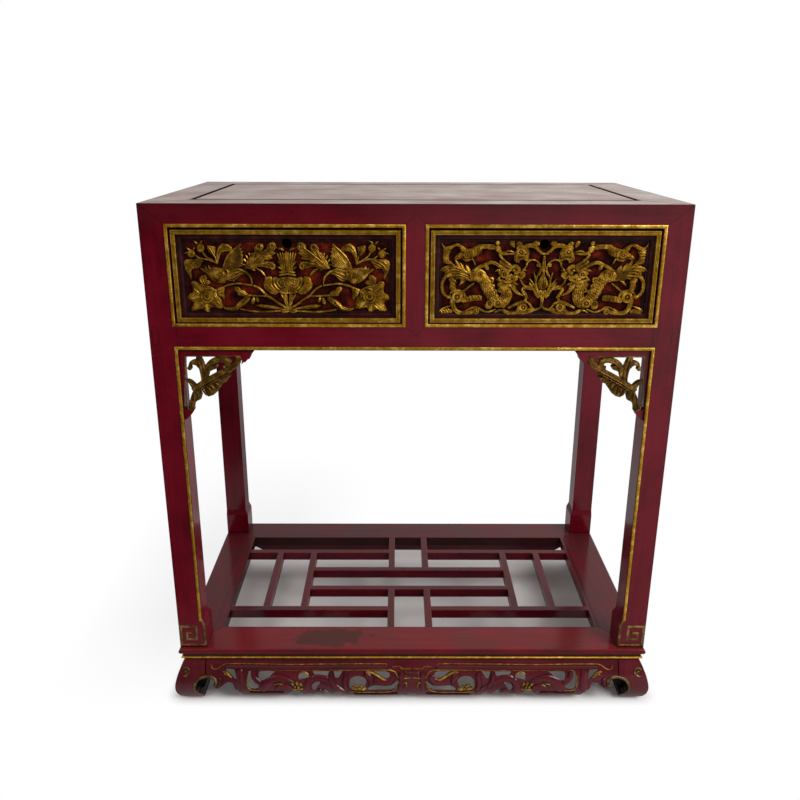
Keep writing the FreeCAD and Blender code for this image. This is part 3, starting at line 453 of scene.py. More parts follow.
def bare_wood(name, grain, pale, plain, deep):
    """Planed softwood left bare: fine growth lines along the grain and brown handling marks."""
    material, tree, surface, place = new_finish(name)
    line_width, line_length = 4 * millimetre, 120 * millimetre
    stretch = [1 / (line_length if axis == grain else line_width) for axis in "xyz"]
    along = add_node(tree, "Mapping", {}, {"Vector": place, "Scale": stretch})
    lines = add_node(tree, "TexNoise", {},
                     {"Vector": along.outputs[0], "Scale": 1, "Detail": 5, "Roughness": 0.65,
                      "Distortion": 0.4})
    marks = add_node(tree, "TexNoise", {},
                     {"Vector": place, "Scale": 1 / (60 * millimetre), "Detail": 4})
    blend = add_node(tree, "Mix", {"data_type": "FLOAT"},
                     {0: 0.4, 2: lines.outputs[0], 3: marks.outputs[0]})
    wood = add_node(tree, "ValToRGB", {"stops": ((0.34, deep), (0.5, plain), (0.66, pale))},
                    {0: blend.outputs[0]})
    tree.links.new(wood.outputs[0], surface.inputs["Base Color"])
    ridges = add_node(tree, "Bump", {},
                      {"Strength": 0.3, "Distance": 0.3 * millimetre, "Height": lines.outputs[0]})
    tree.links.new(ridges.outputs[0], surface.inputs["Normal"])
    surface.inputs["Roughness"].default_value = 0.72
    surface.inputs["Specular IOR Level"].default_value = 0.3
    return material


softwood = bare_wood("bare planed softwood", "y", "#A98660", "#8C6A46", "#684A2E")
paint(softwood, "top_batten_left", "top_batten_right", "drawer_runner_left", "drawer_runner_right",
      "drawer_runner_centre",
      *(f"drawer_{side}_{part}" for side in ("left", "right")
        for part in ("bottom", "outer_side", "inner_side", "back")))

# Carved drawer panels
# Pierced relief of soft wood, cut with gouges, gilded over red and set on the drawer's ground.
# The left panel has two phoenixes beside a lotus plume, the right one two dragons and a pearl.
picture_size = 800
# Each kind of stroke has its half width, against the widest place, at shares of its length.
stroke_shapes = {
    "vine": ((0, 0.7), (0.08, 1), (0.92, 1), (1, 0.7)),
    "leaf": ((0, 0.1), (0.2, 0.72), (0.45, 1), (0.75, 0.72), (1, 0.06)),
    "petal": ((0, 0.3), (0.35, 0.72), (0.7, 1), (0.9, 0.88), (1, 0.4)),
    "tail": ((0, 0.75), (0.12, 1), (0.55, 0.72), (1, 0.06)),
    "bud": ((0, 0.35), (0.2, 0.82), (0.5, 1), (0.8, 0.82), (1, 0.35)),
    "ring": ((0, 1), (1, 1)),
}
# A stroke has this many steps along it, or three for each of its places where that is more.
stroke_steps = 12
# The back of a stroke rises this far above its lift at most.
crest = 2.1 * millimetre


def seen_at(across, down, depth):
    """The place on the upright plane y = depth that the camera sees at a point of the picture."""
    scale = sensor / lens / picture_size
    ray = (forward + (across - picture_size / 2) * scale * eye_right
           - (down - picture_size / 2) * scale * eye_up)
    return eye + ray * ((depth - eye.y) / ray.y)


def seen_on(across, down, seat):
    """The place on the bent face y = seat(z) that the camera sees at a point of the picture.

    It is sought in rounds, each from the depth of the face at the last place's height."""
    first_height, rounds = 40 * millimetre, 24
    place = seen_at(across, down, seat(first_height))
    for attempt in range(rounds):
        place = seen_at(across, down, seat(place.z))
    return place


def width_along(shape, share):
    """Half width of a stroke at a share of its length, against its widest place."""
    stops = stroke_shapes[shape]
    for (low, first), (high, second) in zip(stops, stops[1:]):
        if share <= high:
            return first + (second - first) * (share - low) / (high - low)
    return stops[-1][1]


def smooth_line(points, steps, closed):
    """Evenly spread places on a smooth line through given points."""
    count = len(points)
    dense = []
    for index in range(count if closed else count - 1):
        reach = [(index + step) % count if closed else min(max(index + step, 0), count - 1)
                 for step in (-1, 0, 1, 2)]
        before, start, end, after = [points[spot] for spot in reach]
        for part in range(8):
            t = part / 8
            dense.append(0.5 * (2 * start + (end - before) * t
                                + (2 * before - 5 * start + 4 * end - after) * t ** 2
                                + (3 * start - before - 3 * end + after) * t ** 3))
    dense.append(points[0] if closed else points[-1])
    lengths = [0]
    for first, second in zip(dense, dense[1:]):
        lengths.append(lengths[-1] + (second - first).length)
    line = []
    spot = 0
    for step in range(steps if closed else steps + 1):
        wanted = lengths[-1] * step / steps
        while spot < len(dense) - 2 and lengths[spot + 1] < wanted:
            spot += 1
        gap = max(lengths[spot + 1] - lengths[spot], 1e-9)
        line.append(dense[spot].lerp(dense[spot + 1], (wanted - lengths[spot]) / gap))
    return line


def read_strokes(text):
    """Strokes from lines of: shape, half width, lift in millimetres, places in the picture.

    The half width is in steps of the picture. A ring gives its middle and its radius.
    A line that starts with a space goes on with the one above it; # starts a remark."""
    strokes = []
    for line in text.strip().replace("\n ", " ").splitlines():
        if line.startswith("#"):
            continue
        shape, half_width, lift, *spots = line.split()
        places = [tuple(float(part) for part in spot.split(",")) for spot in spots]
        if shape == "ring":
            (across, down), (radius,) = places
            places = [(across + radius * math.cos(turn), down + radius * math.sin(turn))
                      for turn in (math.tau * step / 8 for step in range(8))]
        strokes.append((shape, float(half_width), float(lift), places))
    return strokes


def sweep(bm, shape, half_width, lift, points, depth, slope):
    """Sweeps one domed stroke along a line on a flat ground; z is the height above it.

    Its sides fall at the given slope, down to the given depth below the ground."""
    curve = bpy.data.curves.new("stroke", "CURVE")
    curve.dimensions = "3D"
    curve.twist_mode = "Z_UP"
    curve.bevel_depth = 1
    curve.bevel_resolution = 0 if shape == "leaf" else 2
    curve.use_fill_caps = True
    closed = shape == "ring"
    steps = max(stroke_steps, 3 * len(points))
    line = smooth_line(points, steps, closed)
    spline = curve.splines.new("POLY")
    spline.points.add(len(line) - 1)
    spline.use_cyclic_u = closed
    for index, (point, place) in enumerate(zip(spline.points, line)):
        point.co = (*place, 1)
        point.radius = half_width * width_along(shape, index / steps)
    holder = bpy.data.objects.new("stroke", curve)
    drawn = bpy.data.meshes.new_from_object(holder)
    first = len(bm.verts)
    bm.from_mesh(drawn)
    bm.verts.ensure_lookup_table()
    for vertex in bm.verts[first:]:
        above = vertex.co.z
        vertex.co.z = (lift + crest * math.tanh(above / crest) if above > 0
                       else max(lift + slope * above, -depth))
    bpy.data.objects.remove(holder)
    bpy.data.curves.remove(curve)
    bpy.data.meshes.remove(drawn)


def raise_plate(bm, rim, lift, outline, depth):
    """Raises one flat blade with a rounded rim from its outline."""
    face = bm.faces.new([bm.verts.new((spot.x, spot.y, -depth)) for spot in outline])
    face.normal_update()
    if face.normal.z < 0:
        face.normal_flip()
    raised = bmesh.ops.extrude_face_region(bm, geom=[face])["geom"]
    tops = [item for item in raised if isinstance(item, bmesh.types.BMVert)]
    bmesh.ops.translate(bm, verts=tops, vec=(0, 0, lift - rim + depth))
    crown = [item for item in raised if isinstance(item, bmesh.types.BMFace)]
    for inward, upward in ((0.3 * rim, 0.65 * rim), (0.7 * rim, 0.35 * rim)):
        bmesh.ops.inset_individual(bm, faces=crown, thickness=inward, depth=upward)


def fan(first_root, last_root, first_tip, last_tip, count, half_width, lift):
    """Feathers side by side from a row of roots to a row of tips."""
    feathers = []
    for index in range(count):
        share = index / (count - 1)
        root = Vector(first_root).lerp(Vector(last_root), share)
        tip = Vector(first_tip).lerp(Vector(last_tip), share)
        places = [tuple(place) for place in (root, root.lerp(tip, 0.5), tip)]
        feathers.append(("leaf", half_width, lift, places))
    return feathers


def relief(strokes, seat, mirror_x=None, depth=0.3 * millimetre, slope=4):
    """Carves strokes on the face y = seat(z), and perhaps their mirror half."""
    # One step of the picture is measured at the middle of the table's front.
    step = (seen_on(401, 300, seat) - seen_on(400, 300, seat)).length
    bm = bmesh.new()
    for shape, half_width, lift, spots in strokes:
        places = [seen_on(across, down, seat) for across, down in spots]
        for side in (1, -1) if mirror_x is not None else (1,):
            points = [Vector((p.x if side > 0 else 2 * mirror_x - p.x, p.z, 0)) for p in places]
            if shape == "plate":
                raise_plate(bm, half_width * step, lift * millimetre, points, depth)
            else:
                sweep(bm, shape, half_width * step, lift * millimetre, points, depth, slope)
    for vertex in bm.verts:
        x, z, height = vertex.co
        vertex.co = (x, seat(z) - height, z)
    return bm


def cut(solid, tool, operation="DIFFERENCE"):
    """What is left of a solid after a tool is cut from it, or kept in common with it."""
    holders = []
    for shape in (solid, tool):
        bmesh.ops.recalc_face_normals(shape, faces=shape.faces)
        mesh = bpy.data.meshes.new("cut")
        shape.to_mesh(mesh)
        shape.free()
        holders.append(bpy.data.objects.new("cut", mesh))
        scene.collection.objects.link(holders[-1])
    modifier = holders[0].modifiers.new("cut", "BOOLEAN")
    modifier.operation = operation
    modifier.object = holders[1]
    modifier.use_self = True
    left = bmesh.new()
    left.from_object(holders[0], bpy.context.evaluated_depsgraph_get())
    for holder in holders:
        mesh = holder.data
        bpy.data.objects.remove(holder)
        bpy.data.meshes.remove(mesh)
    return left


def finished(name, bm, material, body, replaced=(), sharp=48):
    """Makes a mesh object from a bmesh, finishes it and hangs it on its body."""
    bmesh.ops.remove_doubles(bm, verts=bm.verts, dist=0.001 * millimetre)
    bmesh.ops.recalc_face_normals(bm, faces=bm.faces)
    for face in bm.faces:
        face.smooth = True
    for edge in bm.edges:
        edge.smooth = edge.calc_face_angle(0) < math.radians(sharp)
    mesh = bpy.data.meshes.new(name)
    bm.to_mesh(mesh)
    bm.free()
    mesh.materials.append(material)
    piece = bpy.data.objects.new(name, mesh)
    scene.collection.objects.link(piece)
    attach(piece, body)
    if replaced:
        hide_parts(*replaced)
    return piece


def gilding(name, shades, grime_and_shade_colour, grime_and_shade_reach, ground, height, wear):
    """Old gold leaf over red: dull in the low places, painted bright on the high as a highlight, dark
    in the cuts with grime and painted shade.

    The leaf brightens towards the front over the given height from the plane y = ground: a painted
    highlight on what stands out.
    Wear is how far the red under the leaf shows in the rubbed places."""
    material, tree, surface, place = new_finish(name)
    patches = add_node(tree, "TexNoise", {},
                       {"Vector": place, "Scale": 1 / (11 * millimetre), "Detail": 4, "Roughness": 0.6})
    specks = add_node(tree, "TexNoise", {},
                      {"Vector": place, "Scale": 1 / (1.6 * millimetre), "Detail": 2})
    split = add_node(tree, "SeparateXYZ", {}, {0: place})
    # Painted highlight: the higher the carving stands, the brighter its leaf.
    raised = add_node(tree, "MapRange", {},
                      {"Value": split.outputs["Y"], "From Min": ground, "From Max": ground - height,
                       "To Min": 0.03, "To Max": 0.07})
    flecks = add_node(tree, "MapRange", {},
                      {"Value": specks.outputs[0], "From Min": 0.3, "From Max": 0.7, "To Min": -0.1,
                       "To Max": 0.1})
    leafed = add_node(tree, "Math", {"operation": "ADD"}, {0: patches.outputs[0], 1: raised.outputs[0]})
    tone = add_node(tree, "Math", {"operation": "ADD"}, {0: leafed.outputs[0], 1: flecks.outputs[0]})
    gold = add_node(tree, "ValToRGB", {"stops": tuple(zip((0.3, 0.45, 0.6, 0.74), shades))},
                    {0: tone.outputs[0]})
    rubs = add_node(tree, "TexNoise", {},
                    {"Vector": place, "Scale": 1 / (5 * millimetre), "Detail": 5, "Roughness": 0.7})
    bare = add_node(tree, "MapRange", {},
                    {"Value": rubs.outputs[0], "From Min": 0.54, "From Max": 0.66, "To Min": 0,
                     "To Max": wear})
    rubbed = add_node(tree, "Mix", {"data_type": "RGBA"},
                      {0: bare.outputs[0], 6: gold.outputs[0], 7: srgb("#4A1A10")})
    # Grime and painted shade: the cuts are darkened, rougher and less like metal, where shadow falls in
    # them.
    hollow = add_node(tree, "AmbientOcclusion", {"samples": 6}, {"Distance": grime_and_shade_reach})
    low = add_node(tree, "MapRange", {},
                   {"Value": hollow.outputs["AO"], "From Min": 0.5, "From Max": 0.84, "To Min": 1.0,
                    "To Max": 0.0})
    ragged = add_node(tree, "MapRange", {},
                      {"Value": specks.outputs[0], "From Min": 0.3, "From Max": 0.62, "To Min": 0.7,
                       "To Max": 1.0})
    grime_and_shade = add_node(tree, "Math", {"operation": "MULTIPLY"}, {0: low.outputs[0], 1: ragged.outputs[0]})
    colour = add_node(tree, "Mix", {"data_type": "RGBA"},
                      {0: grime_and_shade.outputs[0], 6: rubbed.outputs[2], 7: srgb(grime_and_shade_colour)})
    tree.links.new(colour.outputs[2], surface.inputs["Base Color"])
    shine = add_node(tree, "MapRange", {}, {"Value": grime_and_shade.outputs[0], "To Min": 0.46, "To Max": 0.9})
    tree.links.new(shine.outputs[0], surface.inputs["Roughness"])
    metal = add_node(tree, "MapRange", {}, {"Value": grime_and_shade.outputs[0], "To Min": 0.7, "To Max": 0.0})
    tree.links.new(metal.outputs[0], surface.inputs["Metallic"])
    bump = add_node(tree, "Bump", {},
                    {"Strength": 0.5, "Distance": 0.5 * millimetre, "Height": specks.outputs[0]})
    tree.links.new(bump.outputs[0], surface.inputs["Normal"])
    surface.inputs["Specular IOR Level"].default_value = 0.3
    return material


ground_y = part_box("drawer_left_ground_board")[0].y


def ground_face(z):
    """The front of the drawers' ground boards, a flat upright plane."""
    return ground_y


carved_gilding = gilding("gold leaf on carved wood", ("#3E2A03", "#6C4904", "#966A0A", "#CCA040"),
                         grime_and_shade_colour="#0E0603", grime_and_shade_reach=1.7 * millimetre, ground=ground_y,
                         height=7 * millimetre, wear=0.35)
drawer_middles = {side: sum(corner.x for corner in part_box(f"drawer_{side}_carving")) / 2
                  for side in ("left", "right")}
phoenix_strokes = """
# Leaves, buds and stems at the upper corner
plate 0.8 2.2 204,258.5 199,258 193,259 188.5,258.6 185,260 183.6,263 184.6,267 186,271 188.6,275
 191.6,279.8 192.2,276 191,272 192.6,268.6 195.6,268 198.4,268.4 200.6,266 201.4,263.6 203.4,261
leaf 0.8 3.1 203.4,259.6 196,261.6 190,266.4 188.4,273
leaf 0.7 3.1 201,262.4 195.6,264.6 191.6,268.4
leaf 0.7 3.1 196.6,259.6 190,261.4 186,265.4
leaf 0.7 3.1 200.4,260.6 193,263.6 187.6,269.4
leaf 0.7 3.1 199.6,265 196.6,266.4 194.4,267.8
bud 3.8 4.0 200.8,243.4 201.2,251.6
bud 3.9 4.0 191.8,249.4 191.6,257
leaf 0.9 3.4 199.6,243.6 201.2,241.6 203.4,240
leaf 0.9 3.2 197.8,243.6 195.8,242 193.6,240.2
leaf 0.8 3.2 190.4,250 188.6,248.6 186.6,247.4
leaf 0.8 3.2 188.6,252 186.6,252.6 184.4,253.6
leaf 0.8 3.2 193.4,249.6 194.4,248 195.4,246.8
vine 0.8 3.0 202.4,251.4 206,256 211,259.4 218,263
vine 0.8 3.2 195.6,254.6 200,258 206,258.8 212,260.6 218,263.4
plate 0.7 3.0 207.4,245 211,245.4 215.4,246.6 215.6,251 215.4,256.6 212,254.6 209,252 207.6,248.6
leaf 0.7 3.8 208.2,246 211.6,250 215,256.4
leaf 0.5 3.8 212,246.6 213.6,249.6 215,252.6
vine 0.7 3.2 215.2,256 217.6,262.8
plate 0.8 3.3 217.2,262.4 216.4,254 217.8,247 222.4,243 227.4,244 231.4,246.6 232.8,249.6 230,251.2
 226,250.8 222,252.4 219.8,256 218.6,262
leaf 0.8 4.4 217.6,259 218.4,250 223,245.4 230,247.2
leaf 0.6 4.2 218.4,258 219.8,251.4 224,248.6 230,249.8
# Phoenix: raised wing, lowered wing, body and tail
plate 0.8 2.4 224,271.6 222.2,267 224,262.6 227,257 231,251.6 235,248 240.4,243 240.8,245
 239.4,247.4 242,248 241,250.4 243.2,251 241.6,253.6 243.4,255 242,257.6 243.6,260 242.4,262.6
 243.6,265.2 240,267 234,268.6 229,270.8
leaf 1.1 3.8 223.6,266.6 228,256 240.2,243.4
plate 0.8 2.7 200.4,267.6 203,268.4 206,270 205,266 208,268.6 208.4,264.8 212,268.4 213,267
 218,267.6 222,268.2 225,271.6 229.4,272 233,269.4 238,267.8 243,269.6 247,271.8 244,273.6
 240.6,275.4 237.4,278.6 234,281.6 229.4,280.4 226.4,279.6 225.2,282.4 222,283.6 217,282.6 212,279.4
 208.6,276 206,273 202.6,271
bud 3.0 3.2 219,279.4 224.6,280.4
vine 0.7 4.0 228,271.4 233,269.8 238,268.4 246.4,271.8
leaf 0.8 3.9 226,279.4 233,277.6 240,273.4 246,272
leaf 0.8 3.9 228,275.6 235,272.8 242,270.6
leaf 0.7 3.9 229,280 234,279.6 239,276
tail 1.2 3.4 245.6,271.8 250,275.6 252,280.6 252.6,285.4
leaf 0.8 3.8 225,268.6 228.6,271.6 226.4,276.6
leaf 0.8 3.8 221.6,270.6 224.4,274 223.4,278.6
bud 1.5 4.4 227,273.4 229.4,276
# Lobed leaf at the top
plate 0.8 2.6 244.6,268 246.6,262 249,257 251.6,252.6 254.6,252 254.2,247.6 256.4,244.2 259.4,243.2
 262.6,244.2 263.8,247 262.6,249.6 261.4,252.8 264.4,251.6 266.6,250 267,245 269.6,242.4 272.4,241.4
 275,243 276.8,247.6 274.4,250 273,251.6 276,253 273,255 270.6,256 273,258 270,259.4 265,260
 263,261.6 268,261.6 273,262 275.6,265 275.4,268.6 272.6,270 269.6,268.4 263.6,266.8 258,266.6
 256.4,268 254.4,269 250,269
leaf 0.9 4.0 246,267.6 254,260 262,253 269,247.6 274.4,244
leaf 0.8 3.9 248,265.6 253,257 256.6,249.6 257.4,246
leaf 0.9 4.0 249,267.4 259,263.8 268,263.8 274,266.6
leaf 0.6 3.7 250,263.4 250.6,258.6 252.6,254.6
leaf 0.6 3.7 253.6,260 254,256 255.4,253
leaf 0.6 3.7 256.6,257.4 258,254 260.6,251.4
leaf 0.6 3.7 259,255 262,253.4 264,251.8
leaf 0.6 3.7 255.6,259.6 261,257.6 267,258.6
leaf 0.6 3.7 259,256.6 264,255.6 272,257.6
leaf 0.6 3.7 262.6,253.6 268,253.6 275,253.2
leaf 0.6 3.7 266,250.6 270,250.4 274,249
leaf 0.6 3.7 266.4,250 268.4,247 269.6,243.4
leaf 0.6 3.7 269,247.6 271,245 272.4,242.4
leaf 0.6 3.7 252,266.6 257,262.4 263,260.6
leaf 0.6 3.7 262,265.4 266,266.4 271.6,268.8
leaf 0.6 3.7 264,263.4 269,262.4 273,263.6
ring 0.7 4.4 259.2,246.8 2.4
ring 0.6 4.4 272,245 1.8
ring 0.6 4.4 272.6,266 2.0
# Small leaves round it, and stems
leaf 1.2 3.2 255.6,267.6 261,270.6 264,273.6 266,276.4
leaf 0.9 3.2 251,268.4 253.6,269.4 255.6,270.4
leaf 0.9 3.0 246.6,262 245,260 243.6,258
leaf 0.9 3.0 248.4,259 247,256.6 245.6,254
leaf 0.9 3.0 250.4,256 249.4,253.6 248.4,252
leaf 0.8 3.0 245.6,265 244,264.4 242.6,263.6
leaf 0.8 3.2 243.6,257 241.8,256.4 240.4,255.8
vine 0.9 3.2 222,288 226,285.6 230,284.4 238,283 246,284 252.4,285
vine 1.1 3.2 254,285.2 260,288 265,293 268,295.8 273,298.4 279,303 288,308
leaf 0.6 4.2 255,285.4 260.6,288.2 266,293.6
# Leaf and peony at the lower corner
plate 0.8 2.6 202.6,275 205.8,274.6 207,278 206.4,280 209.6,280.4 211,283 207,285.4 202,284
 199.6,281 199.4,277.6
leaf 0.6 3.6 203,276 203.4,280 206,284
leaf 0.6 3.6 200.6,278.6 202,281.6 204.4,284.4
plate 0.9 2.4 191.6,281.6 195,280.6 199,283 203.6,285 208.6,285.8 212.6,287.4 216.4,290.6
 217.6,295.6 219.4,296.6 221.4,300 222.8,304.6 223,308 220,308.4 216,307.6 212,307.2 210,308.6
 210,312.2 206.6,312 203.6,309.4 200,308.8 197.6,310.6 193,311 191.2,309 192.6,305.6 193.8,302.4
 191.4,300 187.8,298.8 188,296.4 190,293.4 193,292.6 192.8,288.6 191.8,285
petal 3.6 2.6 203,291 198,286.6 194,283.4
petal 2.8 2.6 201,296.6 195.6,296.4 190,296.4
petal 3.6 2.6 203,301.6 198.6,304.8 194.4,309
petal 2.7 2.6 206.6,303.6 207.2,307 207.6,310.8
petal 3.4 2.6 211.4,300.6 216,303.2 220.8,306.4
petal 3.0 2.6 211,291.4 213.4,290.4 215.6,293
leaf 0.6 4.4 201.6,290 197.6,285 193.6,282
leaf 0.6 4.4 200,292.4 196,289.4 193.6,287
leaf 0.6 4.2 200,296.4 195,295.6 189.6,296
leaf 0.6 4.4 202,302 197.6,306 193,309.8
leaf 0.6 4.4 204,303.6 201,306.6 198.4,309.6
leaf 0.6 4.4 207,304 207.6,308 208,311.4
leaf 0.6 4.4 212,302 217,304.6 221.6,307.4
leaf 0.6 4.4 213.6,299 217.4,300.4 221,303.6
leaf 0.6 4.4 210,304 213,305.6 215,306.8
leaf 0.6 4.4 214,294 216,296 217.6,299
leaf 0.6 4.4 204,289.6 207.6,287.6 212,288.6
vine 0.6 3.8 193.6,281.4 199,283.6 205,285.4 212,287.6 216,291
ring 1.5 3.6 207.6,296.4 5.2
ring 1.0 5.0 207.6,295.8 2.7
plate 0.7 2.4 216.4,289 221,287 225.6,286 224.6,290 224.4,294 225.2,297 224.6,299.6 222,297.6
 219,295.6 217.4,292
leaf 0.6 3.4 217.6,290.4 221,288.6 224.6,287
leaf 0.6 3.4 218,293 221.6,291.4 224.2,291.4
leaf 0.6 3.4 219.6,295.4 222,295 224.4,296.6
# Leaves and buds beside the lotus
plate 0.8 3.1 236,286 239,286.8 241.6,290 244,290 246.6,292.6 248.6,294.4 247,295.8 241.6,295.8
 238.4,294.8 237.2,292 234.4,289.4 234.2,287
leaf 0.7 4.2 247.6,294.8 241.6,291.6 236,287.4
leaf 0.5 4.0 243,293.6 240,294 238,293.4
leaf 0.5 4.0 240,290.6 240,288.6 239,287.4
vine 0.8 3.2 247.6,294.8 256,295.4 267,295.6
plate 0.8 3.0 248,296.6 243,298.6 238.6,302 235.6,305.6 231,307.6 226,307.4 223.6,306 224.6,309.2
 229,310.6 234.6,310.8 238.4,309.4 240,307.4 243.4,305.4 246.6,303 249.6,300 250.6,297.4
leaf 0.8 4.2 249.6,297.4 242.6,300.4 238.4,305 234.6,308.4 229.6,309.2 225,307.6
leaf 0.5 4.0 247,299 244.6,301.6 243,304.6
leaf 0.5 4.0 243.6,301 241,303.6 239.8,306.6
leaf 0.5 4.0 240,303.6 237.6,306.4 236,309.6
leaf 0.8 3.4 249.6,296 246.6,297 243.6,296.4
bud 2.0 3.4 254.4,297.2 252.8,303.6
bud 1.6 3.4 257,297 258.6,301.6
leaf 0.5 4.8 254.8,298 253.6,302
plate 0.7 3.0 256.4,305 262,304.2 268,304.8 274,306 280,307.2 286,308.6 278,309 270,308.6 262,307.6
leaf 0.5 3.9 258,305.6 268,306.4 280,308.2
vine 0.9 3.0 240.6,308.6 250,310.4 262,311.4 276,310.8 289.0,309.6
# Lotus in the middle
plate 0.9 2.9 263.4,284 264.6,281 265.2,277.6 268.4,275.8 271.6,276.4 273,279 273,283 275,286.6
 278.4,289 280.4,290.4 278.6,293 275.6,294.6 272,294 268,291 264.6,288
petal 3.2 3.2 275.6,290.6 270,286 268.6,279.6
leaf 0.5 5.0 276,291 269.6,286.6 266.6,281
leaf 0.5 5.0 277,290 271.8,285 270.4,278.6
plate 0.9 3.6 273.4,277 276,276.6 279,278 283,277 287.6,276.4 288.2,291.6 282,291 277.6,288.8
 274.6,285.6 272.8,281.6
bud 4.2 3.0 287.7,278 288.2,289.6
leaf 0.9 5.0 274.2,278 274.8,283.4 278.6,288.4 284.6,290.4
leaf 0.8 5.0 277,278 277.8,282.6 281,286.6 286.6,288.2
leaf 0.7 5.0 280,279 284,277.6 287.6,277.4
ring 0.7 5.2 282.6,281.8 1.5
leaf 0.7 5.2 285.4,280 284.8,284 286.6,287
# Plume above the lotus
vine 1.1 4.0 279.4,275 283.6,274 287.5,273.6
vine 0.9 4.2 280.8,272.2 284,271.4 287.4,271
petal 0.95 3.8 282.6,271.6 280.8,262 277.6,252.8
petal 0.9 4.0 284,271.6 282.4,262 280.2,252.2
petal 0.9 4.2 285.2,271.6 284.2,262 282.8,252
petal 0.9 4.4 286.4,271.6 286,262 285.2,251.6
petal 0.85 4.6 287.4,271.6 287.0,262 286.5,251
leaf 0.9 3.0 281.6,266 279.6,262.6 277.4,260.6
leaf 0.9 3.0 282,269.6 279.8,267.6 277.4,266
leaf 0.9 3.0 283,272.4 281,272 279,271.8
# Stem below the lotus, and the plume's top leaf
vine 1.2 3.8 279.6,291 283.6,292.2 288.3,292.4
petal 2.2 3.2 289.0,308.6 286.4,301 285.8,293.6
leaf 0.6 4.6 288.8,305 286.6,299 286.8,294
leaf 1.0 3.2 281,293 283.4,297 286.4,301
bud 1.6 3.4 281.6,311.4 289.1,311
vine 0.9 4.0 281,309.6 289.0,308.8
leaf 1.0 3.0 284.4,250.6 281,248.6 277,247.6
"""
wings = fan((225.4, 268.6), (235, 267.4), (240.6, 245.4), (243.4, 264),
            count=8, half_width=0.6, lift=3.5)
wings += fan((222, 280.6), (222.6, 272), (202, 268.8), (213.4, 267.6),
             count=6, half_width=0.6, lift=3.8)
finished("drawer_left_phoenix_carving",
         relief(read_strokes(phoenix_strokes) + wings, ground_face, drawer_middles["left"]),
         carved_gilding, "drawer_left", ["drawer_left_carving"])

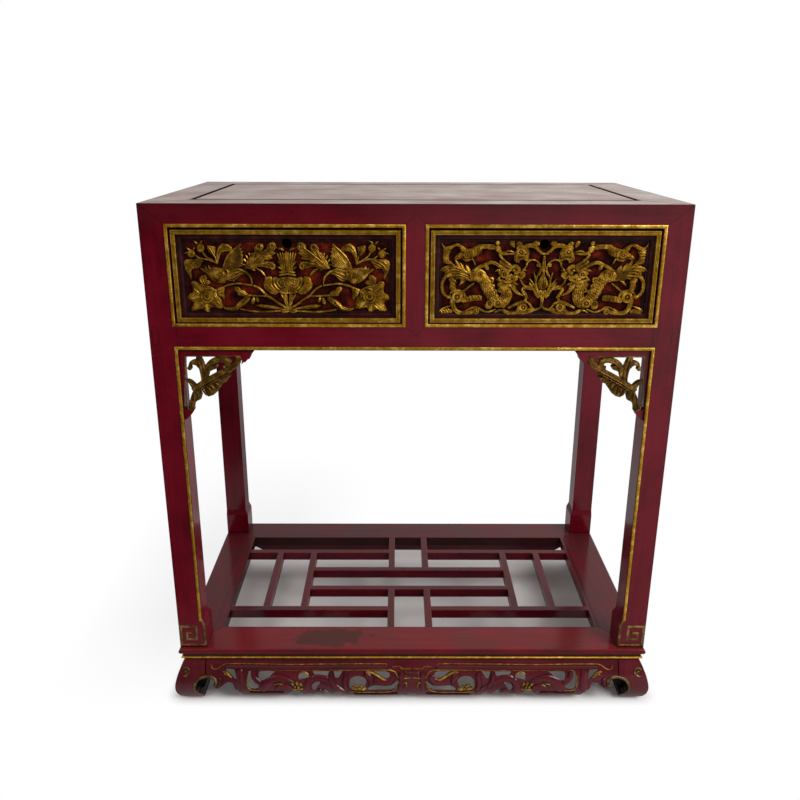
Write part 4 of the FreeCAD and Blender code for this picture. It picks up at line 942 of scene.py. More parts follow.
# Right panel: two dragons in clouds beside a flaming pearl. Their scales are small domes in rows.
dragon_strokes = """
# Along the top
tail 1.9 3.2 453,246.4 448,248.2 444.4,247.4 441.2,242.6
vine 1.6 3.2 444.6,248.2 449.6,247.4 453,245.6 457.6,244.6 461.6,246.8 466,249.8
leaf 0.7 4.8 443.6,246.6 449.6,246.4 456,243.6 461,245
vine 2.7 1.6 445.9,249.4 445.7,261.6
leaf 1.2 3.4 442.6,249.6 446,250.4 450,249.4
leaf 1.2 3.4 442.6,252 446,252.2 450,251.2
leaf 1.2 3.4 442.6,254.8 446,255 449.6,254.4
leaf 1.3 3.4 442.6,257.6 446,257.6 449.4,257.2
leaf 1.3 3.2 442.6,261 446,261.4 449.4,261.6
tail 2.0 3.0 445,261.6 450,262.6 455.6,266.4
petal 4.6 3.0 458,254 464,254.4 472,252.6 480,247.6
vine 1.7 3.8 460,247 464,250 470,249.8 476,247.4 480,246
ring 0.8 5.2 466,254.6 2.4
bud 1.2 5.0 465,254.6 467,254.6
leaf 1.4 4.0 454.4,257.6 457.6,255.8 461,257.4
leaf 1.3 3.6 462,258.4 466,260 472.6,258.6
leaf 0.8 3.2 471,256.4 473.2,260.4 475.4,265
leaf 0.8 5.2 471.6,249 472.4,252.6 471.4,257
leaf 0.8 5.2 474.2,248.4 475.2,252.4 474.4,256.6
leaf 0.8 5.2 476.8,247.4 478.2,251.4 477.2,255.6
leaf 0.8 5.2 479.4,246 480.6,249.6 479.8,253
vine 2.2 3.2 479,247 486,246.4 491,247.2 496,247
vine 0.8 4.8 480,245 487,244.6 494,245
bud 2.3 3.6 497.4,240.6 497,245
bud 3.0 3.8 496,245.6 499.6,251.6
tail 2.0 3.2 497.4,249.6 502,253 508,253.6 514.6,253.6
leaf 0.9 4.0 503,252.4 508.6,250.6 515,252.4
# At the outer side
leaf 5.2 2.2 440.4,270 450,268.6 462,273 474,279
leaf 1.0 4.6 439.6,270 444,267.2 450,266.6 456,268.6
leaf 1.0 4.8 444.6,272.6 450,269.6 457,269.6 464,272.6
leaf 1.0 4.8 446,274.6 453,272 461,273 469,277
leaf 1.0 4.6 450,276.4 457,274.8 464,276.4 471,280
leaf 0.9 4.4 454,277.6 460,277.4 466,278.6 471,281
leaf 1.0 4.8 448,266 455,266.6 462,269.6 470,274.6
leaf 1.0 4.6 452,264.6 459,267.6 466,271.4 474,276.4
leaf 1.9 3.2 455,259.4 458,265 464,273
leaf 1.7 3.4 459.6,262 462,267 466,273
leaf 2.3 3.6 465.6,264.6 468,270 470.6,276
leaf 1.2 3.2 458.6,285.4 462,282 466.6,279.6
leaf 1.2 3.2 454.6,279.4 457,277.8 460,277.4
vine 1.8 3.2 452,274.6 446,276 442.6,280.6 441.6,286.4 443,292 446.4,296.2
leaf 0.7 4.8 449,274.6 443.4,278.6 441,285.6 443,292.6
bud 1.9 3.4 445.6,295.4 449.6,297.4
vine 2.7 3.4 449.6,277.6 452.6,281.4 452,286.6 454.6,290.6
leaf 0.7 5.4 450,278 454.6,280 456,283
leaf 0.7 5.4 449.4,281.6 453,283.4 455.8,286
leaf 0.7 5.4 449.4,285.4 453,286.8 457,289
# Along the foot at the outer side
ring 1.1 4.2 456.6,296.4 3.6
bud 1.8 4.4 455.2,296.4 458.2,296.4
vine 1.2 3.4 450,292.6 454,290.2 459.6,290.4 463.6,292.6 465,297.6
vine 1.0 3.0 461.6,291 464,290 469.6,285.6 474,282.6
vine 3.0 3.2 461,300 467,298.8 474,297.8 481.4,297.4
leaf 0.7 5.6 465.4,295.6 467,298.4 466,302.4
leaf 0.7 5.6 468.6,295 470.2,298 469.2,301.8
leaf 0.7 5.6 471.8,294.6 473.4,297.6 472.4,301.4
leaf 0.7 5.6 475,294.4 476.4,297.4 475.6,300.8
leaf 0.7 5.6 478,294.2 479.4,297 478.8,300.2
vine 2.4 3.2 452,297 452.4,303 454.6,309 459.6,312.6 467,312.4 473,311
leaf 0.8 5.2 453.6,299 453.4,304.6 456.6,310 463,312.2
vine 1.0 3.2 465,310.6 471,307.6 476.4,306.6 480.6,309.2 487,311.6 495.6,308.6
ring 1.0 4.0 475.6,310.6 2.3
bud 1.2 4.2 474.6,310.6 476.8,310.6
vine 2.2 2.2 440.4,311.8 446,310.8 452,310.6
leaf 0.9 4.0 440,309.6 441.6,311.4 441.8,314
leaf 0.9 4.2 442.4,308.6 444.2,311 445,313.6
leaf 0.9 4.2 444.8,308 446.8,310.6 448,313.4
leaf 0.9 4.2 447.2,307.6 449.2,310.2 450.8,313.2
leaf 1.3 3.4 438.6,312 442,308.8 450.6,305
# Body and legs of the dragon
vine 5.6 3.0 470,277 478,275.4 484,280.6 488,289 493,298 501,302.6 506,296 505.6,288
vine 4.6 3.6 474,275.6 479.6,275.6 484.6,281.6
ring 1.1 5.4 478.4,274 3.1
vine 1.9 3.6 474,270.6 478,267.2 484,264.6 491,262 497.6,264.4 505,269.4 509,272
leaf 0.7 5.4 476,268.4 484,263.6 491,261 499,264.4 507,269.6
bud 2.2 3.8 485,264.6 488,269.4
leaf 1.6 3.8 471,270.6 476,269.4 482,271 487,275
leaf 1.2 3.6 487,278 492.4,278.4 490.6,285
leaf 1.0 3.6 489,284 493.6,285.4 492,290
leaf 1.0 3.6 492,289 496,291 495,296
ring 1.2 5.6 497,302.6 3.4
bud 1.6 5.6 496,302.6 498.4,302.6
ring 1.0 5.2 489,303 2.8
bud 1.3 5.2 488.4,303 490,303
bud 3.8 3.0 484.6,305 492,305.4
vine 3.6 3.4 499,281.6 503,287 506,292.6
leaf 1.4 4.0 495,270.8 499,270 501,274
vine 1.1 3.8 498.6,271.6 500.4,275 498,278.6 500.6,281
leaf 1.2 3.8 495.6,279.4 499,279.6 503,282
vine 1.0 3.8 497,284.6 500,283.4 500.4,287 497.4,290.4 502,291
leaf 1.1 3.6 497,286 500,287 503,288
ring 1.3 5.0 504,273.8 2.9
bud 1.3 5.2 503,273.8 505,273.8
vine 1.4 4.0 499,253.6 501.4,257.6 505.6,261.6 511.4,265.8
leaf 0.6 5.6 499,254 502,258.4 510,265
vine 1.5 4.0 499.2,260.6 503,263.6 508,267
leaf 0.8 5.4 505,264.6 509,267.2 512,271
# Its head
vine 2.1 4.2 508.6,270.6 510.6,267.2 515,266 518.4,268.6 517.6,271.6 513.6,272.6
bud 1.5 5.0 512,270 515,270
bud 2.5 4.2 507,276.6 512,274.4
petal 2.1 4.6 505,279 511,276.4 517.2,277
vine 1.7 4.6 502,280.6 507,281.6 512,280.4 517,277.8
petal 2.0 4.2 501.6,279 504,285 510.6,284.6
leaf 0.8 5.6 506,284.6 510,281 513.6,279
ring 0.7 6.0 508.6,279.6 1.2
bud 2.8 3.6 504,284 506.6,289
tail 2.3 3.8 510.6,283.6 513.6,288.6 517,292.4 523,295.4
leaf 0.8 3.8 513,283 514.6,286.6 516,290
tail 1.3 3.8 513,281.6 516,283.6 518,284.4
# Between the head and the pearl, and above the head
bud 3.3 3.8 519.8,271.6 524.2,276.4
bud 1.2 5.4 521.4,272.6 523.6,274.8
leaf 1.0 4.0 521,271.6 523.6,270 526.4,270.2
vine 1.0 4.0 516,272.6 519,277 522.6,277.6
vine 0.8 3.8 522,270 525.4,266.6 527.2,262 531.4,259.4 536,260.4 540,264.4
vine 0.8 3.4 519.6,278.4 522.6,284 527.4,286.6 533,285.4
ring 1.4 4.0 520.6,251.6 3.3
bud 1.6 4.2 519.2,251.6 522,251.6
petal 2.3 3.4 514,247 512.8,244 511.6,240.8
petal 2.6 3.6 523,248.6 520,244.4 516.6,242.4
vine 1.3 4.0 516.6,248.6 518.6,246 522.6,246 525.4,248.6
tail 2.5 3.8 523.6,246.6 529.6,245.2 535.4,246.8 538.6,250.6 543,253.4 549,254
vine 0.8 5.6 525,245 530.6,243.6 535.6,245.4
bud 2.9 3.6 532.6,243.6 539.4,243
vine 1.9 3.6 526,248.4 527.4,252.6 525.4,257.4
vine 1.3 3.6 514.4,256 518.4,259 523,257.8 527,260 530.6,259.6
petal 2.3 3.4 518,253 516,256.6 515,260.6
leaf 1.2 3.4 514.6,260.8 517,260.6 519,262.6
# Flaming pearl in the middle
tail 1.5 3.4 543.4,272 543.8,263 544.3,254.6
vine 0.7 4.2 541.6,267.6 543,260.6 543.8,255
tail 1.25 4.2 537.4,290 535.6,286 535.2,281.6 536.6,276.6 539,271.6 540.8,266
tail 0.8 4.8 538.6,275 540.6,270 541.8,264
tail 1.3 3.6 535.6,281.6 534.6,276.4 533.6,271.6
tail 1.5 3.6 536.6,288 532.6,283.6 529,277.6
leaf 1.1 3.6 540.2,272 540.2,267.6 538.4,263.8
ring 0.7 3.8 537.6,264.8 1.1
ring 1.0 4.8 540,292 1.5
leaf 0.7 5.4 538.4,290.2 540,289.8 541.4,290.2
# Clouds below the pearl
vine 1.5 3.2 521.4,288.4 525.6,286.4 530.8,287 534.2,290.6 535.6,294.4 538.6,297
vine 1.0 4.0 534.6,287.6 537,291 537.4,293.6 539.4,295.4 541.8,295
vine 1.3 3.6 540.6,296 541,301 540.8,304.6 539,307.4 534,309.2 528,310
leaf 0.8 4.6 541.2,297 541.2,302 540,306
ring 1.3 4.2 522.6,306.8 3.1
bud 1.3 4.2 521.6,306.8 523.8,306.8
ring 0.9 4.0 528.8,309.8 1.4
vine 1.4 3.2 507.6,307.4 513,304.8 519,301.8 524.4,300.2 525.4,296.4 523,292 521,288.6
# Flat blades
plate 0.7 2.2 442.8,248.6 450.6,248.8 450.8,251.4 449,254 448.6,257 449,260 452,261.6 449,263
 443,262.6 443.6,259 442.8,256 443,252
plate 0.8 3.0 454,257.6 455.4,255.6 459.8,254.8 460.4,251 459.4,248 462,248.4 466,250.4 471,250
 475.4,246.8 477,244.6 480,243.8 482.4,246 481.6,249.6 480,253 477,255.4 472.6,256.4 470.6,258.6
 466,259 462,258 458,259.2 455,260
plate 0.8 2.2 440.2,269.8 442,267.4 446,265.8 449,265.6 450,263.4 454,265 457.6,268.4 456.8,262
 460.6,264.8 463.6,269.6 465,269.8 465.4,265.4 466.4,264.6 468.6,267.6 470.6,271.4 473,270
 476.4,269.6 478,272 476,280 472,280 468,279.6 464,281 461,282.4 460,279 455.8,277.8 452,277.4
 447.6,277.6 444.6,278 444,274 446.6,271
plate 0.7 3.0 514.6,253 513.6,256.6 514,261 516,262.6 518,260.6 519,257.6 524,258.6 526,260.6
 529,260 528.8,256 528,251 526.4,247.6 523,245.6 519.6,246.4 516.8,249
plate 0.6 3.0 509.2,242 511,240.4 514.6,241.6 515,244.6 513,247 511.4,246.6 509.6,244
plate 0.6 3.2 515.8,243.6 518,242.6 521,245 523,247.2 520,248.2 517,246.8
plate 1.0 5.0 543.4,270.4 542,273.4 540,277 538,280.4 537,283.2 537.4,286.4 539.2,288.4 542.2,289.2
 542.7,282
# Fine lines on the blades, and the last clouds
leaf 0.5 4.2 455,256.6 459,256 461.6,257.6
leaf 0.6 4.0 461,250 466.4,252 472,251.2 477,247.4
leaf 0.6 4.0 470,257.6 474,255 479,252
leaf 0.6 4.0 462.6,256.8 466,258.2 470,256.6
leaf 0.6 4.0 475.4,253.6 477,250.6 477.8,247.4
ring 0.7 4.4 479.2,247 1.6
leaf 0.6 3.9 471,278 463,276 452,274.6 446,275
leaf 0.6 3.9 470.6,273.4 461,271 452,268.6 445,268.6
leaf 0.6 3.9 469,270.6 462,268.6 455.6,266.8 449.6,264.6
leaf 0.6 4.2 472,277.6 466,274.6 458,272.4 449,272
leaf 0.6 4.2 467.6,271.6 467,268.6 466.2,266
leaf 0.6 4.2 463,270.6 460.6,267.4 457.8,263.4
leaf 0.6 4.0 521.4,256.6 525,256.6 527.6,253.6
ring 0.7 4.4 524.2,253.8 1.9
leaf 0.6 3.8 510.4,242 512.4,243.6 513.4,246
leaf 0.6 4.0 517.4,244.4 519.6,245.6 521.4,247
leaf 0.6 4.2 515.4,258 516,260 516,262
leaf 0.6 4.2 522,258.6 525,258 528,258.6
leaf 0.5 6.0 541.4,287.4 539.2,284.6 539.8,281
leaf 0.8 6.0 543.3,270.6 542.9,273 542.8,276
leaf 0.9 3.6 528.4,281.6 530.6,285 534,288.6
leaf 0.7 4.4 523.6,289 526.8,288.2 531,289.6
leaf 0.6 4.4 528,298.4 525.6,293.6 523.4,289.6
leaf 0.6 4.2 509,307.6 515,304.8 521,302.8
leaf 0.6 4.2 504,311.2 510,312.2 515,311
leaf 0.7 4.4 518,309.6 522,311.4 527,309.6
leaf 0.6 5.0 455,292.8 459.6,291.6 463.6,295.6
leaf 0.6 4.2 443.6,293 446.4,296.6 449.6,298
leaf 0.6 4.2 442.6,282 441.4,287 442.8,291.6
leaf 0.6 4.4 448.6,293 450.6,297.6 450.8,303
leaf 0.6 4.4 455.4,308 460,311.2 466,311.2
ring 0.8 4.6 456.8,296.6 4.8
leaf 0.6 5.0 499.6,271.6 501.6,268.6 505.6,270
leaf 0.6 4.6 518.8,272.6 520.4,275.4 524.4,275.6
vine 1.2 3.4 518.6,303.4 523,300.8 528.4,303 531.6,307.6 535,309.6
vine 2.0 3.2 502,309.6 507.6,312.6 513.4,312.8 517.6,309.6 518.8,304.6
vine 1.5 3.2 514,313 520,312.4 526,312.2 532,310
leaf 1.2 3.2 493.6,312.8 498,310.2 504.6,309.6
"""
scale_line = ((473, 276), (480, 276.4), (485, 282), (488.6, 290), (493.6, 297.4), (500.6, 300.6),
              (505, 295), (504.6, 288.6))
scale_rows, scale_gap, scale_length, scale_half = 22, 1.9, 2.1, 0.85
strokes = read_strokes(dragon_strokes)
rows = smooth_line([Vector((*spot, 0)) for spot in scale_line], scale_rows, False)
for index, (first, second) in enumerate(zip(rows, rows[1:])):
    along = (second - first).normalized()
    across = Vector((-along.y, along.x, 0))
    for lane in range(-2, 3):
        middle = first + across * scale_gap * (lane + index % 2 / 2)
        tip = middle + along * scale_length
        strokes.append(("bud", scale_half, 5.2 - 0.35 * abs(lane), [middle[:2], tip[:2]]))
finished("drawer_right_dragon_carving", relief(strokes, ground_face, drawer_middles["right"]),
         carved_gilding, "drawer_right", ["drawer_right_carving"])

# Gilded beads and key frets
# Half-round beads worked on the front edges of the openings, water-gilded over red and rubbed.
# The bead of the big opening steps out on each leg's block and ends there in a key fret.
bead_profile = ((-1, -0.2), (-1, 0.4), (-0.72, 0.86), (-0.2, 1), (0.2, 1), (0.72, 0.86), (1, 0.4),
                (1, -0.2))
front_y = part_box("leg_front_left")[0].y
bead_gilding = gilding("gold leaf on beads", ("#7E5610", "#9C7014", "#B2861E", "#DCB658"),
                       grime_and_shade_colour="#1E0E06", grime_and_shade_reach=1.3 * millimetre, ground=front_y + 2 * millimetre,
                       height=4 * millimetre, wear=0.3)
worn_gilding = gilding("worn gold leaf on frets", ("#3A2A14", "#5A441E", "#7C6230", "#A48A58"),
                       grime_and_shade_colour="#140A06", grime_and_shade_reach=2 * millimetre, ground=front_y + 2 * millimetre,
                       height=4 * millimetre, wear=0.6)


def skin(bm, rings, closed=True):
    """Joins rings of places into one skin, and the last to the first, or else caps both ends."""
    loops = []
    for ring in rings:
        verts = [bm.verts.new(place) for place in ring]
        loops.append([bm.edges.new((verts[i - 1], verts[i])) for i in range(len(verts))])
    for first, second in zip(loops, loops[1:] + (loops[:1] if closed else [])):
        bmesh.ops.bridge_loops(bm, edges=first + second)
    if not closed:
        for edges in (loops[0], loops[-1]):
            bmesh.ops.contextual_create(bm, geom=edges)


def run_bead(bm, points, half_width, rise, face, closed):
    """Runs a mitred bead along points of the upright plane y = face."""
    count = len(points)
    rings = []
    for index, point in enumerate(points):
        before = points[index - 1] if closed or index else None
        after = points[(index + 1) % count] if closed or index < count - 1 else None
        inward = (Vector(point) - Vector(before)).normalized() if before else None
        outward = (Vector(after) - Vector(point)).normalized() if after else None
        inward = inward or outward
        outward = outward or inward
        side = Vector((-inward.y - outward.y, inward.x + outward.x))
        side /= 1 + inward.dot(outward)
        rings.append([(point[0] + side.x * across * half_width, face - up * rise,
                       point[1] + side.y * across * half_width) for across, up in bead_profile])
    skin(bm, rings, closed)


# The beads' places in the openings, then the half width and rise at which they are drawn.
bead_half = 3.25 * millimetre
bead_drawn = 2.5 * millimetre
bead_rise = 1.6 * millimetre
openings_low, openings_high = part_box("drawer_opening_beads")
opening_x = (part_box("centre_stile")[1].x, openings_high.x - 2 * bead_half)
opening_z = (openings_low.z + 2 * bead_half, openings_high.z - 2 * bead_half)
bm = bmesh.new()
for side in (-1, 1):
    turns = [(side * (x + out * bead_half), z + up * bead_half)
             for x, out, z, up in ((opening_x[0], -1, opening_z[0], -1),
                                   (opening_x[1], 1, opening_z[0], -1),
                                   (opening_x[1], 1, opening_z[1], 1),
                                   (opening_x[0], -1, opening_z[1], 1))]
    run_bead(bm, turns, bead_drawn, bead_rise, front_y, True)
finished("drawer_opening_beads_gilded", bm, bead_gilding, "table",
         ["drawer_opening_beads"])

leg_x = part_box("arch_bead")[1].x - bead_half
rail_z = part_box("lower_rail_front")[0].z + bead_half
bead_foot_z = 161 * millimetre
bm = bmesh.new()
run_bead(bm, [(-leg_x, bead_foot_z), (-leg_x, rail_z), (leg_x, rail_z), (leg_x, bead_foot_z)],
         bead_drawn, bead_rise, front_y, False)
finished("arch_bead_gilded", bm, bead_gilding, "table", ["arch_bead"])
# The turns of the right key fret, in millimetres across and up; the left one is its mirror.
fret_turns = ((379.4, 164), (374.1, 152), (374.1, 109.6), (416.6, 109.6), (416.6, 148.4),
              (389, 148.4), (389, 121.6), (406.2, 121.6), (406.2, 134.6), (396.6, 134.6))
fret_half, fret_rise = 2.1 * millimetre, 1.1 * millimetre
bm = bmesh.new()
for side in (-1, 1):
    fret = [(side * x * millimetre, z * millimetre) for x, z in fret_turns]
    run_bead(bm, fret, fret_half, fret_rise, front_y, False)
finished("leg_frets_gilded", bm, worn_gilding, "table", ["arch_bead"])

# A fine half-round bead runs round the underside of the shelf's edge.
waist_low, waist_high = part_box("waist_bead")
waist_gilding = gilding("gold leaf on the shelf's edge", ("#9A6C18", "#B88A24", "#D0A034", "#F0CC70"),
                        grime_and_shade_colour="#2A1408", grime_and_shade_reach=1 * millimetre, ground=waist_low.y + 2 * millimetre,
                        height=4 * millimetre, wear=0.25)
# Six tenths of its rise lie inside the edge of the drawn bead.
waist_half, waist_rise, waist_sunk = 1.5 * millimetre, 2.2 * millimetre, 0.6
waist_z = waist_low.z + 0.2 * millimetre
rings = []
for x, side, y, end in ((waist_low.x, -1, waist_low.y, -1), (waist_high.x, 1, waist_low.y, -1),
                        (waist_high.x, 1, waist_high.y, 1), (waist_low.x, -1, waist_high.y, 1)):
    rings.append([(x - side * (waist_sunk - up) * waist_rise,
                   y - end * (waist_sunk - up) * waist_rise,
                   waist_z + across * waist_half) for across, up in bead_profile])
bm = bmesh.new()
skin(bm, rings)
finished("waist_bead_gilded", bm, waist_gilding, "table", ["waist_bead"])

# Drawer fronts
# Each drawer front is a mitred frame: a gilded ridge with two fine grooves, then a dark stepped
# cove down to the brown-red ground board, with the pull hole bored through.
ridge_profile = ((0.5, 20), (0.5, 0.9), (1.1, 0.1), (2.4, 0), (3.0, 0.9), (3.5, 0.1), (4.5, 0.1),
                 (5.0, 0.9), (5.5, 0), (6.8, 0.1), (7.4, 0.9), (7.4, 20))
cove_profile = ((7.4, 20), (7.4, 2.6), (9.2, 2.8), (9.6, 4), (12.4, 4.6), (14.6, 6.2), (15.2, 7.8),
                (17.6, 8.0), (18.2, 9.3), (20, 9.5), (20, 20))


def moulding(bm, low, high, profile):
    """Runs a closed mitred moulding round the inside of a rectangle.

    The profile gives the insets and depths of its corners in millimetres."""
    rings = []
    for inset, depth in profile:
        left, right = low.x + inset * millimetre, high.x - inset * millimetre
        foot, head = low.z + inset * millimetre, high.z - inset * millimetre
        rings.append([(x, low.y + depth * millimetre, z)
                      for x, z in ((left, foot), (right, foot), (right, head), (left, head))])
    skin(bm, rings)


def old_paint(name, shades, roughness, mirror):
    """Dull old paint on the grounds and coves, darkened nearly black in the corners as painted shade.
    """
    material, tree, surface, place = new_finish(name)
    clouds = add_node(tree, "TexNoise", {},
                      {"Vector": place, "Scale": 1 / (22 * millimetre), "Detail": 6, "Roughness": 0.7})
    paint_coat = add_node(tree, "ValToRGB", {"stops": tuple(zip((0.36, 0.5, 0.66), shades))},
                          {0: clouds.outputs[0]})
    # Painted shade: corners and hollows round the carving go nearly black.
    hollow = add_node(tree, "AmbientOcclusion", {"samples": 6}, {"Distance": 9 * millimetre})
    corner = add_node(tree, "MapRange", {},
                      {"Value": hollow.outputs["AO"], "From Min": 0.4, "From Max": 0.95,
                       "To Min": 0.96, "To Max": 0.0})
    corner_shaded = add_node(tree, "Mix", {"data_type": "RGBA"},
                     {0: corner.outputs[0], 6: paint_coat.outputs[0], 7: srgb("#0B0302")})
    tree.links.new(corner_shaded.outputs[2], surface.inputs["Base Color"])
    grit = add_node(tree, "TexNoise", {},
                    {"Vector": place, "Scale": 1 / (1.5 * millimetre), "Detail": 2})
    bump = add_node(tree, "Bump", {},
                    {"Strength": 0.3, "Distance": 0.3 * millimetre, "Height": grit.outputs[0]})
    tree.links.new(bump.outputs[0], surface.inputs["Normal"])
    surface.inputs["Roughness"].default_value = roughness
    surface.inputs["Specular IOR Level"].default_value = mirror
    return material


# The grounds' near-black patches are painted shade, standing for deep gaps in the pierced carving.
ground_paint = old_paint("orange-red paint on carved grounds", ("#0B0302", "#380A05", "#6A1F0A"),
                         roughness=0.6, mirror=0.04)
cove_paint = old_paint("dark lacquer on coves", ("#1A0505", "#2B0A09", "#411513"),
                       roughness=0.4, mirror=0.12)
pull_hole_z, pull_hole_radius = 829 * millimetre, 8 * millimetre
for side in ("left", "right"):
    frame_low, frame_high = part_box(f"drawer_{side}_front_frame")
    bm = bmesh.new()
    moulding(bm, frame_low, frame_high, ridge_profile)
    finished(f"drawer_{side}_gilded_ridge", bm, bead_gilding, f"drawer_{side}",
             [f"drawer_{side}_front_frame"])
    bm = bmesh.new()
    moulding(bm, frame_low, frame_high, cove_profile)
    drill = bmesh.new()
    middle = (frame_low.x + frame_high.x) / 2
    bmesh.ops.create_cone(drill, cap_ends=True, segments=32, radius1=pull_hole_radius,
                          radius2=pull_hole_radius, depth=60 * millimetre,
                          matrix=Matrix.Translation((middle, front_y, pull_hole_z))
                          @ Matrix.Rotation(math.radians(90), 4, "X"))
    bm = cut(bm, drill)
    finished(f"drawer_{side}_dark_cove", bm, cove_paint, f"drawer_{side}",
             [f"drawer_{side}_front_frame"])
    paint(ground_paint, f"drawer_{side}_ground_board")

# Table top's panel
# A flush board with the same lacquer as its frame. It is as wide as its tongue, less what it has
# shrunk, so its edges run a little into the rails; the dark seam round it is in the lacquer.
shrinkage = 1.1 * millimetre
bm = bmesh.new()
bmesh.ops.create_cube(bm, size=1)
bmesh.ops.scale(bm, verts=bm.verts, vec=(panel_high.x - panel_low.x - 2 * shrinkage,
                                         panel_high.y - panel_low.y - 2 * shrinkage,
                                         panel_high.z - panel_low.z))
bmesh.ops.translate(bm, verts=bm.verts, vec=(panel_low + panel_high) / 2)
finished("top_panel_shrunk", bm, top_long_lacquer, "table", ["top_panel"])

# Feet
# Scroll feet sawn from blocks of hard wood: a swelling outer face, a round sole and an arch towards
# each apron. Lacquered outside; inside, bare wood darkened near black as painted shade, round a corner
# glue block.
# Duller, greyer red than the case: dust, and a painted haze of the light these low parts mirror.
dulled_shades = ("#3A0A12", "#52131C", "#5C1C24")
foot_lacquer = lacquer("brushed red lacquer on feet, bare dark wood inside", "z", dulled_shades,
                       gloss=0.5, mirror=0.04, film=0.1, coat=0.5)
# What faces the middle of the table, or faces up, is bare wood, darkened near black as painted shade.
tree = foot_lacquer.node_tree
place = add_node(tree, "TexCoord").outputs["Object"]
outward = add_node(tree, "VectorMath", {"operation": "MULTIPLY"}, {0: place, 1: (1, 1, 0)})
flat = add_node(tree, "NewGeometry").outputs["Normal"]
turned = add_node(tree, "VectorMath", {"operation": "DOT_PRODUCT"}, {0: outward.outputs[0], 1: flat})
inside = add_node(tree, "MapRange", {},
                  {"Value": turned.outputs["Value"], "From Min": -0.12, "From Max": -0.06,
                   "To Min": 0.95, "To Max": 0})
split = add_node(tree, "SeparateXYZ", {}, {0: flat})
upward = add_node(tree, "MapRange", {},
                  {"Value": split.outputs["Z"], "From Min": 0.55, "From Max": 0.65, "To Min": 0,
                   "To Max": 0.95})
bare = add_node(tree, "Math", {"operation": "MAXIMUM"}, {0: inside.outputs[0], 1: upward.outputs[0]})
lay_over(foot_lacquer, bare.outputs[0], "#0A0605")
# The glue block's near-black wood is painted shade.
shade_black_wood = bare_wood("bare wood darkened black as painted shade", "z", "#16110E", "#0D0A08", "#070504")
# Both outlines give insets from the outer face and heights, in millimetres.
foot_outline = ((20, 86), (16, 79), (12, 72), (9, 65), (6, 58), (3.8, 51), (1.9, 44), (0.6, 38),
                (0, 32), (0.5, 25), (2.4, 17.6), (6, 10.4), (10.6, 5), (16, 1.4), (22, 0), (40, 0),
                (45.6, 1.6), (49.8, 5.4), (51.4, 10), (50.4, 14), (47, 16.8), (43, 19.6),
                (39.8, 24), (38.2, 30), (38.6, 36), (41, 41.4), (45, 45.6), (50, 48.2), (55, 49),
                (55, 86))
block_outline = ((24, 84), (24, 5), (42.4, 1), (53, 30), (54.6, 40), (54.6, 84))
# The block lies between these distances from the foot's front or rear outer face.
block_near, block_far = 25 * millimetre, 54 * millimetre
# Each sawn foot is cut from two solids that run this far past each other's faces.
overrun = 1 * millimetre


def push_out(bm, places, run):
    """Pushes a flat outline out along a run into a solid."""
    face = bm.faces.new([bm.verts.new(place) for place in places])
    pushed = bmesh.ops.extrude_face_region(bm, geom=[face])["geom"]
    bmesh.ops.translate(bm, verts=[item for item in pushed if isinstance(item, bmesh.types.BMVert)],
                        vec=run)


def prism(outline, end, inset_axis, start, stop):
    """A solid with an outline of insets from the face at end and heights, run between two planes."""
    places = []
    for inset, z in outline:
        place = Vector((start, start, z * millimetre))
        place[inset_axis] = end - math.copysign(inset * millimetre, end)
        places.append(place)
    run = Vector((stop - start, stop - start, 0))
    run[inset_axis] = 0
    bm = bmesh.new()
    push_out(bm, places, run)
    bmesh.ops.recalc_face_normals(bm, faces=bm.faces)
    return bm


for corner in corners:
    foot_low, foot_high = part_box("foot_" + corner)
    end_x = foot_low.x if corner.endswith("left") else foot_high.x
    end_y = foot_low.y if corner.startswith("front") else foot_high.y
    bm = cut(prism(foot_outline, end_x, 0, foot_low.y - overrun, foot_high.y + overrun),
             prism(foot_outline, end_y, 1, foot_low.x - overrun, foot_high.x + overrun), "INTERSECT")
    finished(f"foot_{corner}_scroll", bm, foot_lacquer, "table", ["foot_" + corner],
             sharp=30)
    near_y, far_y = sorted(end_y - math.copysign(inset, end_y) for inset in (block_near, block_far))
    finished(f"foot_{corner}_glue_block", prism(block_outline, end_x, 0, near_y, far_y), shade_black_wood,
             "table", ["foot_" + corner])

# Front apron
# A thin board with a swelling face, pierced and carved with scrolls; its openings run back downward
# and outward. Gilded lines edge the scrolls, with gilded berries and a flower between them.
apron_low, apron_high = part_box("apron_front")
apron_thickness = 16 * millimetre
# The apron and the feet stand out furthest at the fullest height, in millimetres above the floor.
# Over the curve above it the face goes back by the depth, less the belly; the toes are an arc.
fullest, curve_height, curve_depth, belly, toe_radius = 32, 54, 20, 14.5, 32.46


def swelling(z):
    """The y of the swelling face that the apron and the feet share, at a height z."""
    above = z / millimetre - fullest
    if above > 0:
        rise = above / curve_height
        inset = curve_depth * rise - belly * rise * (1 - rise)
    else:
        inset = toe_radius - math.sqrt(max(toe_radius ** 2 - above ** 2, 0))
    return apron_low.y + inset * millimetre


# The lower edge of the board's left half and the openings in it, as places in the picture.
apron_edge = ((204.6, 678.8), (208, 678.4), (212, 679.4), (214.4, 681.6), (214.6, 684.2),
              (213.2, 685.8), (214, 687.6), (217, 688.6), (220, 687.8), (223, 685.4), (226, 683),
              (229, 682), (232, 682.8), (233.4, 685), (234.2, 688), (236, 689.8), (238.6, 690.2),
              (241, 692.6), (244, 694.8), (248, 695.8), (282, 695.8), (287, 694.4), (291, 691.8),
              (295, 690.2), (299, 690.6), (301.6, 692.6), (303.6, 694.2), (306, 694.4),
              (309, 693.4), (313, 693.8), (317, 692.4), (319.4, 691.6), (321, 693), (323.4, 693.4),
              (324.4, 691), (322.4, 688.8), (325, 688.8), (328, 690.6), (331, 692.8), (334, 693.2),
              (337, 691.8), (340, 692.8), (344, 694.8), (349, 695.8), (401, 695.8), (406, 694.8),
              (409, 693.2))
